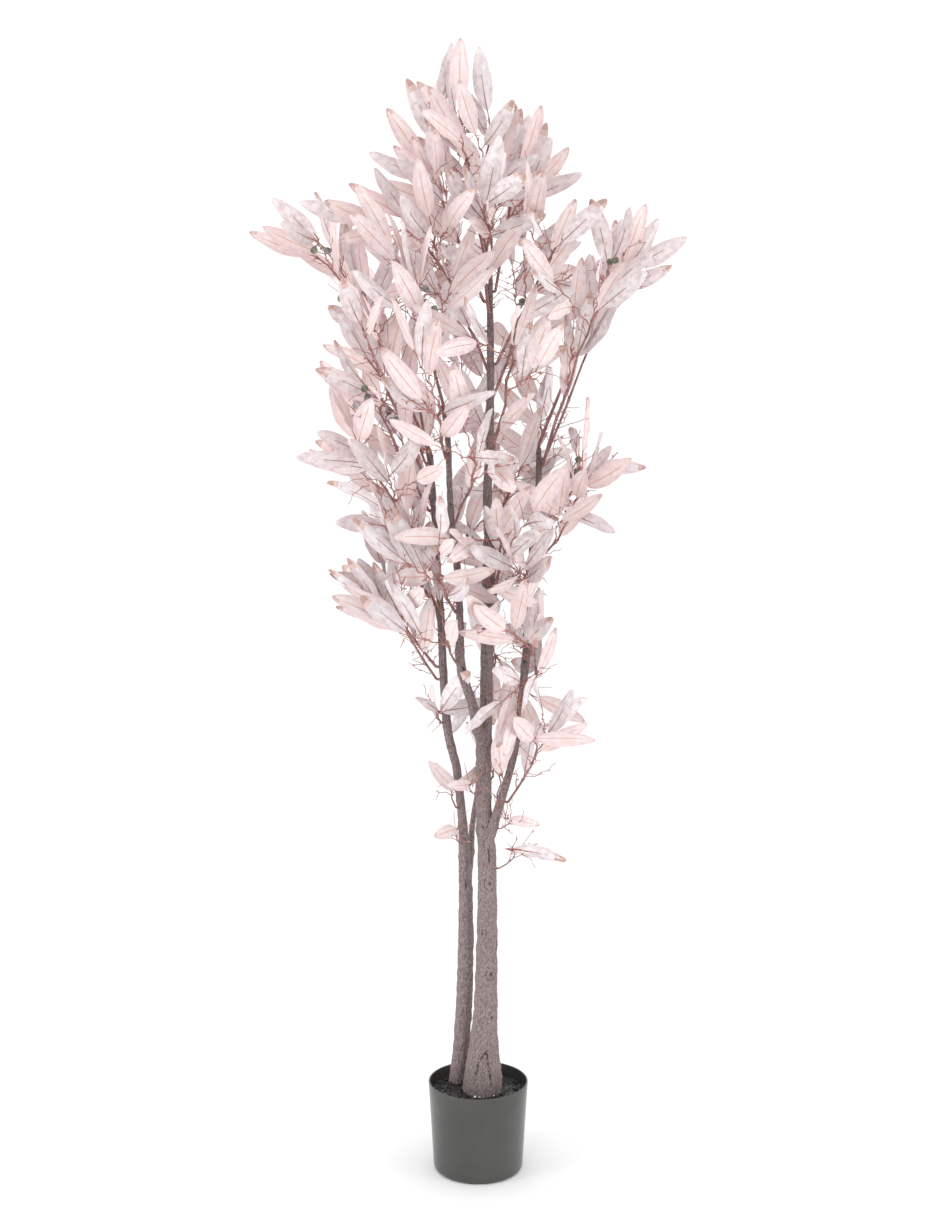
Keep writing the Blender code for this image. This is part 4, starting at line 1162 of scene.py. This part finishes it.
def grow_sprays():
    """Every spray's stem, twigs, leaves and gumnuts."""
    limb_of = dict(zip(LIMBS, limb_trees))
    solid_trees = {row[0]: node_tree("spray_" + row[0]) for row in SPRAYS}
    grown, earlier, fine_trees = [], [], []
    for name, limb, height, tip, leaf_count, nut_count, lot, fine_count, mark in SPRAYS:
        label = name + mark
        tip = Vector(tip)
        fixed_trees = limb_trees + earlier
        plug, out = plug_point(limb_of[limb], LIMBS[limb][0], height, tip)
        stem, stem_shape = grow_stem(label, plug, out, tip, limb_trees, earlier)
        own_trees = [tree_of(stem_shape)]
        runs = [(stem, 0, BARE_SHARE[0])]
        runs += grow_twigs(label, stem, leaf_count, fixed_trees, own_trees)
        leaves = grow_leaves(f"{label} leaf", tip, runs, leaf_count, fixed_trees, own_trees)
        nuts = grow_nuts(label, stem, nut_count, fixed_trees, own_trees)
        others = [tree for other, tree in solid_trees.items() if other != name]
        around = limb_trees + others + fine_trees
        grown_so_far = len(own_trees)
        fine_twigs, fine_leaves = grow_fine_twigs(name, tip, runs, fine_count, around, own_trees)
        fine_trees += own_trees[grown_so_far:]
        earlier.append(solid_trees[name])
        grown.append(
            {
                "name": name, "lot": lot, "stem": stem, "runs": runs[1:], "leaves": leaves,
                "nuts": nuts, "fine_twigs": fine_twigs, "fine_leaves": fine_leaves,
            }
        )
    return grown


sprays = grow_sprays()


# ---------------------------------------------------------------- Stems and twigs
# Iron wire in a red-brown polyethylene sleeve, browner on the stems. The sleeve is moulded with a
# swelling at each joint, stubs where leaves were left off, and bare twiglets that curl.
STEM_THICK = (0.0028, 0.0013)
TWIG_THICK = (0.0013, 0.0008)
STEM_DARK = (0.170, 0.080, 0.073)
STEM_PALE = (0.370, 0.190, 0.175)
SLIM_SPRAY = 0.4  # of a full stem's thickness, on a spray without leaves
LEAF_SHARE = 0.06  # added to that by each leaf
TWIG_DARK = (0.270, 0.105, 0.092)
TWIG_PALE = (0.520, 0.260, 0.230)
SLEEVE_PATCHES = (0.012, 0.010)  # on stems and twigs
SLEEVE_ROUGHNESS = (0.6, 0.55)
SLEEVE_BUMPS = ((0.0022, 0.0004),)
WIRE_SPACING = 0.0035
WIRE_SIDES = (8, 6, 5)  # of a stem, twig and finer twig
JOINT_SWELL = 0.55  # of the radius
JOINT_REACH = 0.0022
TWIG_KINK = 0.0019
KINK_RISE = (0.6, 0.8)  # height and pace of the upward kink, of the sideways one's
KINK_LENGTH = 0.026  # of a left and right bend together
STUBS = 3  # on each stem or twig
STUB_LENGTH = (0.003, 0.006)
STUB_LEAN = (40, 70)  # degrees
STUB_SHAPE = ((0.0, 0.0009), (0.7, 0.00099), (1.0, 0.00054))  # share of its length, radius
TWIGLETS = (9, 4, 3)  # on each stem, twig and finer twig
TWIGLET_LEAN = (30, 65)  # degrees
TWIGLET_STEPS = (3, 4, 5, 6)
TWIGLET_STEP = (0.007, 0.012)
TWIGLET_THICK = (0.0007, 0.00045)
TWIGLET_KINK = 27  # degrees
TWIGLET_CURL = 20  # degrees a step, at most
THIN_SIDES = 5  # of stubs, twiglets and leaf ribs


def zigzag(x):
    """A straight-sided wave between -1 and 1."""
    return 4 * abs(x % 1 - 0.5) - 1


def sleeve(heap, centres, radii, sides, joints, kink, draw):
    """A sleeve over a run of centres, swollen at its joints and kinked between its ends."""
    fine_centres, fine_radii = evenly(centres, radii, WIRE_SPACING)
    wire, thick = [], []
    phases = draw.random(), draw.random()
    axes = frames_along(fine_centres)
    for i, (centre, radius) in enumerate(zip(fine_centres, fine_radii)):
        _, across, other = axes[i]
        part = i / (len(fine_centres) - 1)
        most = kink * min(1.0, 6 * part * (1 - part))
        bends = i * WIRE_SPACING / KINK_LENGTH
        sway = most * zigzag(bends + phases[0])
        lift = most * KINK_RISE[0] * zigzag(bends * KINK_RISE[1] + phases[1])
        swell = sum(hump((centre - joint).length / JOINT_REACH) for joint in joints)
        wire.append(centre + across * sway + other * lift)
        thick.append(radius * (1 + JOINT_SWELL * min(1.0, swell)))
    add_shape(heap, tube(wire, thick, sides))
    return wire


def leave_wire(wire, lean, draw):
    """A place on a wire, and a direction that leans away from it there."""
    base = draw.choice(wire[2:-1])
    return base, splayed((wire[-1] - wire[0]).normalized(), draw.uniform(*lean), any_turn(draw))


def add_stub(heap, wire, draw):
    base, along = leave_wire(wire, STUB_LEAN, draw)
    length = draw.uniform(*STUB_LENGTH)
    centres = [base + along * length * part for part, _ in STUB_SHAPE]
    add_shape(heap, tube(centres, [radius for _, radius in STUB_SHAPE], THIN_SIDES))


def add_twiglet(heap, wire, draw):
    """A short bare twiglet that zigzags and curls, with a nub on it."""
    base, along = leave_wire(wire, TWIGLET_LEAN, draw)
    centres = [base]
    axis = along.orthogonal()
    axis.rotate(Quaternion(along, any_turn(draw)))
    curl = draw.uniform(-TWIGLET_CURL, TWIGLET_CURL)
    for i in range(draw.choice(TWIGLET_STEPS)):
        centres.append(centres[-1] + along * draw.uniform(*TWIGLET_STEP))
        along.rotate(Quaternion(axis, math.radians(curl + (TWIGLET_KINK if i % 2 else -TWIGLET_KINK))))
    shape = tube(centres, taper(TWIGLET_THICK, len(centres)), THIN_SIDES)
    if in_crown(centres[-1]) and not touches(shape, limb_trees):
        add_shape(heap, shape)
        add_stub(heap, [centres[0], *centres], draw)


def wire_spray(spray, stems, twigs):
    """Sleeves one spray's stem and twigs, and returns the points that its leaves hang from."""
    draw = random.Random(spray["name"] + " wire")
    joints = [leaf[0] for leaf in spray["leaves"] + spray["fine_leaves"]]
    joints += [run[0][0] for run in spray["runs"] + spray["fine_twigs"]]
    full = min(1.0, SLIM_SPRAY + LEAF_SHARE * len(spray["leaves"]))
    stem_radii = [full * radius for radius in taper(STEM_THICK, len(spray["stem"]))]
    rows = [(stems, spray["stem"], stem_radii, 0.0, 0)]
    rows += [(twigs, centres, TWIG_THICK, TWIG_KINK, 1) for centres, _, _ in spray["runs"]]
    rows += [(twigs, centres, FINE_TWIG_RADIUS, TWIG_KINK, 2) for centres, _, _ in spray["fine_twigs"]]
    wires = []
    for heap, centres, radii, kink, kind in rows:
        wires.append((sleeve(heap, centres, radii, WIRE_SIDES[kind], joints, kink, draw), kind))
    for wire, kind in wires:
        for _ in range(STUBS):
            add_stub(twigs, wire, draw)
        for _ in range(TWIGLETS[kind]):
            add_twiglet(twigs, wire, draw)
    return [point for wire, _ in wires for point in wire]


def wire_sprays():
    stems, twigs = ([], []), ([], [])
    for spray in sprays:
        spray["wire"] = wire_spray(spray, stems, twigs)
    (stem_patch, twig_patch), (stem_rough, twig_rough) = SLEEVE_PATCHES, SLEEVE_ROUGHNESS
    stem_finish = mottled_finish(
        "stem_sleeve", STEM_DARK, STEM_PALE, stem_patch, stem_rough, SLEEVE_BUMPS
    )
    twig_finish = mottled_finish(
        "twig_sleeve", TWIG_DARK, TWIG_PALE, twig_patch, twig_rough, SLEEVE_BUMPS
    )
    stem_piece = make_piece("spray_stems", *stems, [stem_finish], sharp_angle=60)
    twig_piece = make_piece("spray_twigs", *twigs, [twig_finish], sharp_angle=60)


wire_sprays()


# ---------------------------------------------------------------- Leaves
# Each leaf is die cut from polyester cloth, printed blush pink on the face and left pale and
# greyed with mauve blotches on the back. The printed vein is a thin orange line, and about half
# of the leaves are stained tan at the tip. They are pressed to a shallow trough and have curled.
LEAF_STATIONS = 13
LEAF_COLUMNS = (-1.0, -0.56, -0.035, 0.035, 0.56, 1.0)
LEAF_THICK = 0.00045
PETIOLE = 0.11  # share of the leaf's length before the cloth starts
# How one leaf differs from another: lowest and highest
LEAF_BOW = (-0.015, 0.055)  # of its length
BOW_PACE = 1.05  # it ends just short of the tip
LEAF_SICKLE = (-0.035, 0.035)  # of its length
LEAF_TWIST = (-26, 26)  # degrees
TWIST_STILL = 0.3  # where along the leaf it isn't turned
LEAF_WAVES = (1.5, 2.8)
LEAF_RUFFLE = (0.00048, 0.0016)
LEAF_TROUGH = (0.8, 2.6)  # of the solid leaf's depth
TROUGH_POWER = 1.4  # 1 is a straight-sided trough, 2 a rounded one
LEAF_BREADTH = (0.86, 1.06)  # of the solid leaf's
# The cut outline is the sine of a share of a half turn, raised to a power
LOW_BELLY = 0.84  # under 1, it is widest below the middle
OUTLINE_POWER = (0.74, 0.19)  # at its foot, and how much is lost by its tip, which blunts it
TIP_WIDTH = 0.035  # of its full width
VEIN_END = 0.80
INNER_END = 0.93  # the margin's dye goes round the tip
STAINED_SHARE = 0.5  # of the leaves
STAIN_START = (0.76, 0.88)
STAIN_RAGGED = 0.02
STAIN_BLEND = 0.08  # from the pale stain to the full one
# lot: face inner, face margin, back inner, back margin, share of its leaves set face out
DYE_LOTS = {
    "blush": (
        (0.850, 0.738, 0.724), (0.820, 0.662, 0.660), (0.820, 0.750, 0.755), (0.790, 0.685, 0.692), 0.80,
    ),
    "pale": (
        (0.850, 0.768, 0.757), (0.830, 0.705, 0.702), (0.830, 0.778, 0.785), (0.800, 0.720, 0.730), 0.65,
    ),
    "greyed": (
        (0.812, 0.728, 0.720), (0.775, 0.660, 0.665), (0.775, 0.732, 0.744), (0.742, 0.664, 0.678), 0.45,
    ),
}
BACK_BLOTCH = (0.645, 0.545, 0.562)
# The same four parts of a leaf: the blotches on each, their size and their spread
BLOTCHES = [
    ("_face", (0.795, 0.635, 0.618), 0.011, (0.34, 0.58)),
    ("_face_margin", (0.725, 0.555, 0.555), 0.010, (0.32, 0.56)),
    ("_back", BACK_BLOTCH, 0.011, (0.33, 0.56)),
    ("_back_margin", BACK_BLOTCH, 0.010, (0.34, 0.58)),
]
# Dyed after those four, and numbered after them: the vein, a stain's edge and its middle
STAINS = [
    ("printed_vein", (0.690, 0.290, 0.205)),
    ("pale_tip_stain", (0.700, 0.520, 0.485)),
    ("full_tip_stain", (0.540, 0.355, 0.310)),
]
FACE, FACE_MARGIN, BACK, BACK_MARGIN, VEIN, PALE_STAIN, FULL_STAIN = range(7)
STAIN_SHADE = 0.85  # of a stain's darker mottling
STAIN_PATCH = 0.008
STAIN_SPREAD = (0.38, 0.60)
CLOTH_ROUGHNESS = 0.8
CLOTH_SHINE = 0.25
WEAVE = ((0.0012, 0.00012),)
BRUSHED = {"Sheen Weight": 0.15, "Sheen Roughness": 0.5}
OUTWARD_LIFT = Vector((0, 0, 0.8))  # a leaf set face out faces up nearly as much as outward


def cloth_finish(name, blotch, colour, patch, spread):
    """Brushed cloth: the dye blotched a little, the weave standing fine and shallow."""
    finish = mottled_finish(name, blotch, colour, patch, CLOTH_ROUGHNESS, WEAVE, spread, CLOTH_SHINE)
    set_inputs(finish.node_tree.nodes["Principled BSDF"], BRUSHED)
    return finish


def lot_finishes(lot):
    """The lot's face inner, face margin, back inner and back margin."""
    rows = zip(BLOTCHES, DYE_LOTS[lot])
    return [
        cloth_finish(lot + part, blotch, colour, patch, spread)
        for (part, blotch, patch, spread), colour in rows
    ]


def stain_finish(name, colour):
    shaded = tuple(channel * STAIN_SHADE for channel in colour)
    return cloth_finish(name, shaded, colour, STAIN_PATCH, STAIN_SPREAD)


def half_width(u):
    """The cut outline, as a share of its full width."""
    power = OUTLINE_POWER[0] - OUTLINE_POWER[1] * u
    return max(TIP_WIDTH, math.sin(math.pi * u**LOW_BELLY) ** power)


def leaf_surface(leaf, draw):
    """The leaf's face as a grid of points with its up direction, and where along it each row is."""
    base, along, face, length = leaf
    across = along.cross(face).normalized()
    bow = draw.uniform(*LEAF_BOW) * length
    sickle = draw.uniform(*LEAF_SICKLE) * length
    twist = math.radians(draw.uniform(*LEAF_TWIST))
    waves = draw.uniform(*LEAF_WAVES)
    phases = near_turn(draw), near_turn(draw)
    ruffle = draw.uniform(*LEAF_RUFFLE)
    trough = draw.uniform(*LEAF_TROUGH) * LEAF_DEPTH * length
    width = length * LEAF_WIDTH / 2 * draw.uniform(*LEAF_BREADTH)
    rows = []
    for i in range(LEAF_STATIONS + 1):
        u = (1 - math.cos(math.pi * i / LEAF_STATIONS)) / 2
        t = PETIOLE + (1 - PETIOLE) * u
        middle = base + along * length * t
        middle += face * bow * math.sin(math.pi * min(1.0, t * BOW_PACE))
        middle += across * sickle * math.sin(math.pi * t)
        turn = twist * (t - TWIST_STILL)
        side, up = swung(across, face, turn), swung(face, -across, turn)
        row = []
        for s in LEAF_COLUMNS:
            ripple = ruffle * math.sin(2 * math.pi * waves * u + phases[s > 0]) * abs(s) ** 2
            lift = trough * abs(s) ** TROUGH_POWER * math.sin(math.pi * min(0.5, u)) + ripple
            row.append(middle + side * width * half_width(u) * s + up * lift)
        rows.append((u, row, up, middle))
    return rows


def add_leaf(heap, finish_of, leaf, draw):
    """A thin closed leaf: its face, its back and the cut edge between."""
    points, faces = heap
    rows = leaf_surface(leaf, draw)
    columns = len(LEAF_COLUMNS)
    stains = [
        draw.uniform(*STAIN_START) + draw.uniform(-STAIN_RAGGED, STAIN_RAGGED)
        for _ in range(columns - 1)
    ]
    if draw.random() > STAINED_SHARE:
        stains = [1.0] * (columns - 1)
    start = len(points)
    for _, row, up, _ in rows:
        points.extend(point + up * LEAF_THICK / 2 for point in row)
    back = len(points)
    for _, row, up, _ in rows:
        points.extend(point - up * LEAF_THICK / 2 for point in row)
    for i in range(len(rows) - 1):
        u = (rows[i][0] + rows[i + 1][0]) / 2
        for j in range(columns - 1):
            a, b = i * columns + j, i * columns + j + 1
            faces.append([start + a, start + b, start + b + columns, start + a + columns])
            finish_of.append(face_finish(u, j, stains[j]))
            faces.append([back + a, back + a + columns, back + b + columns, back + b])
            finish_of.append(back_finish(u, j, stains[j]))
    last = (len(rows) - 1) * columns
    border = list(range(columns)) + [i * columns + columns - 1 for i in range(1, len(rows))]
    border += [last + j for j in range(columns - 2, -1, -1)]
    border += [i * columns for i in range(len(rows) - 2, 0, -1)]
    for a, b in zip(border, border[1:] + border[:1]):
        faces.append([back + a, back + b, start + b, start + a])
        finish_of.append(FACE_MARGIN)
    return rows


def face_finish(u, column, stain):
    if column == len(LEAF_COLUMNS) // 2 - 1 and u < VEIN_END:
        return VEIN
    if u > stain + STAIN_BLEND:
        return PALE_STAIN
    return FACE if 0 < column < len(LEAF_COLUMNS) - 2 and u < INNER_END else FACE_MARGIN


def back_finish(u, column, stain):
    if u > stain:
        return FULL_STAIN if u > stain + STAIN_BLEND else PALE_STAIN
    return BACK if 0 < column < len(LEAF_COLUMNS) - 2 else BACK_MARGIN


def cut_leaves():
    stains = [stain_finish(*stain) for stain in STAINS]
    cut = []
    for lot in DYE_LOTS:
        heap, finish_of, nodes = ([], []), [], []
        for spray in sprays:
            if spray["lot"] != lot:
                continue
            nodes.append("spray_" + spray["name"])
            for k, leaf in enumerate(spray["leaves"] + spray["fine_leaves"]):
                draw = random.Random(f"{spray['name']} cut {k}")
                leaf = facing_out(leaf, DYE_LOTS[lot][-1], draw)
                foot = min(spray["wire"], key=lambda point: (point - leaf[0]).length)
                cut.append((foot, leaf, add_leaf(heap, finish_of, leaf, draw)))
        finishes = [*lot_finishes(lot), *stains]
        piece = make_piece("leaves_" + lot, *heap, finishes, finish_of, sharp_angle=50)
        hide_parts(*nodes)
    return cut


def facing_out(leaf, share, draw):
    """This share of the leaves is set with the printed face up and away from the trunks."""
    base, along, face, length = leaf
    middle = base + along * length * 0.5
    wanted = Vector((middle.x, middle.y, 0)).normalized() + OUTWARD_LIFT
    outward = face.dot(wanted) > 0
    if outward != (draw.random() < share):
        face = -face
    return base, along, face, length


leaves_cut = cut_leaves()


# ---------------------------------------------------------------- Leaf ribs
# A moulded red-brown stalk, glued to the back of each leaf as a rib for two thirds of its length
# and pushed onto a peg on the twig.
RIB_END = 0.66
RIB_RADIUS = (0.00080, 0.00032)
RIB_SINK = 0.0002  # of its middle, behind the cloth
STALK_BEND = (0.3, 0.02)  # share of the way back to the peg, and of the leaf's length
RIB_DARK = (0.300, 0.110, 0.085)
RIB_PALE = (0.440, 0.190, 0.150)
RIB_PATCH = 0.02
RIB_ROUGHNESS = 0.45


def glue_ribs():
    heap = ([], [])
    back, forward = STALK_BEND
    for foot, (base, along, _, length), rows in leaves_cut:
        centres = [foot, base.lerp(foot, back) + along * length * forward]
        radii = [RIB_RADIUS[0]] * 2
        for u, _, up, middle in rows:
            if u <= RIB_END:
                centres.append(middle - up * (LEAF_THICK / 2 + RIB_SINK))
                radii.append(RIB_RADIUS[0] + (RIB_RADIUS[1] - RIB_RADIUS[0]) * u / RIB_END)
        add_shape(heap, tube(centres, radii, THIN_SIDES))
    finish = mottled_finish("rib_plastic", RIB_DARK, RIB_PALE, RIB_PATCH, RIB_ROUGHNESS)
    ribs = make_piece("leaf_ribs", *heap, [finish], sharp_angle=80)


glue_ribs()


# ---------------------------------------------------------------- Gumnuts
# Small urns of grey-green moulded plastic, set in twos and threes on short stalks. Each has a
# thick rim round a sunk lid with a raised cross.
NUT_PROFILE = [
    (0.00, 0.00), (0.26, 0.02), (0.58, 0.16), (0.86, 0.36), (1.00, 0.58), (0.98, 0.76),
    (0.82, 0.88), (0.86, 0.96), (0.74, 1.00), (0.60, 0.96), (0.52, 0.86), (0.00, 0.90),
]
NUT_SIDES = 14
NUT_LOBES = (4, 0.05)  # number, and rise as a share of its radius
NUT_DARK = (0.100, 0.104, 0.078)
NUT_PALE = (0.270, 0.275, 0.220)
NUT_PATCH = 0.006
NUT_ROUGHNESS = 0.6
NUT_BUMPS = ((0.0015, 0.0003),)
STALK_RADII = (0.0010, 0.0009, 0.0013)
STALK_SIDES = 6
STALK_SINK = 0.001  # into the nut
BIG_NUT = 0.92  # of the solid gumnut's size, on the sprays that have one
# More nuts beside each of those: their number, lean in degrees and size
MORE_NUTS = ((1, 2, 2), (48, 70), (0.74, 0.9))
# x, z and count of the smaller bunches, each on the foremost wire near that place
NUT_BUNCHES = [
    (-0.010, 1.716, 1), (-0.038, 1.693, 2), (-0.041, 1.604, 2), (-0.234, 1.488, 2),
    (-0.085, 1.429, 2), (-0.060, 1.402, 1), (-0.178, 1.273, 2), (0.180, 1.485, 2),
    (0.115, 1.459, 1), (0.143, 1.150, 3),
]
BUNCH_REACH = 0.012
BUNCH_WAY = Vector((0, -0.5, -0.6)).normalized()  # out and down
BUNCH_SPLAY = (20, 65)  # degrees from that
BUNCH_SIZES = (0.78, 0.92)


def add_nut(nuts, stalks, base, along, size, draw):
    across = along.orthogonal().normalized()
    other = along.cross(across)
    seat = base + along * NUT_STALK
    points, faces = turned(NUT_PROFILE, NUT_SIDES)
    count, rise = NUT_LOBES
    first_lobe = near_turn(draw)
    placed = []
    for point in points:
        turn = math.atan2(point.y, point.x)
        lobed = 1 + rise * math.cos(count * turn + first_lobe)
        out = (across * point.x + other * point.y) * NUT_RADIUS * size * lobed
        placed.append(seat + out + along * point.z * NUT_LENGTH * size)
    add_shape(nuts, (placed, faces))
    stalk = [base, base.lerp(seat, 0.5), seat + along * STALK_SINK]
    add_shape(stalks, tube(stalk, STALK_RADII, STALK_SIDES))


def hang_bunch(nuts, stalks, x, z, count):
    """A bunch on the foremost wire within reach of this place, or else on the nearest wire."""
    draw = random.Random(f"bunch {x} {z}")
    wire = [point for spray in sprays for point in spray["wire"]]
    near = min(wire, key=lambda point: math.hypot(point.x - x, point.z - z))
    within = [p for p in wire if math.hypot(p.x - x, p.z - z) < BUNCH_REACH] or [near]
    base = min(within, key=lambda point: point.y)
    for _ in range(count):
        along = splayed(BUNCH_WAY, draw.uniform(*BUNCH_SPLAY), any_turn(draw))
        add_nut(nuts, stalks, base, along, draw.uniform(*BUNCH_SIZES), draw)


def set_nuts():
    nuts, stalks = ([], []), ([], [])
    for bunch in NUT_BUNCHES:
        hang_bunch(nuts, stalks, *bunch)
    counts, leans, sizes = MORE_NUTS
    for spray in sprays:
        for k, (base, along) in enumerate(spray["nuts"]):
            draw = random.Random(f"{spray['name']} gumnuts {k}")
            add_nut(nuts, stalks, base, along, BIG_NUT, draw)
            for _ in range(draw.choice(counts)):
                lean = splayed(along, draw.uniform(*leans), near_turn(draw))
                add_nut(nuts, stalks, base, lean, draw.uniform(*sizes), draw)
    finish = mottled_finish("gumnut_plastic", NUT_DARK, NUT_PALE, NUT_PATCH, NUT_ROUGHNESS, NUT_BUMPS)
    stalk_finish = mottled_finish("nut_stalk", STEM_DARK, STEM_PALE, NUT_PATCH, NUT_ROUGHNESS)
    nut_piece = make_piece("gumnuts", *nuts, [finish])
    stalk_piece = make_piece("gumnut_stalks", *stalks, [stalk_finish])


set_nuts()
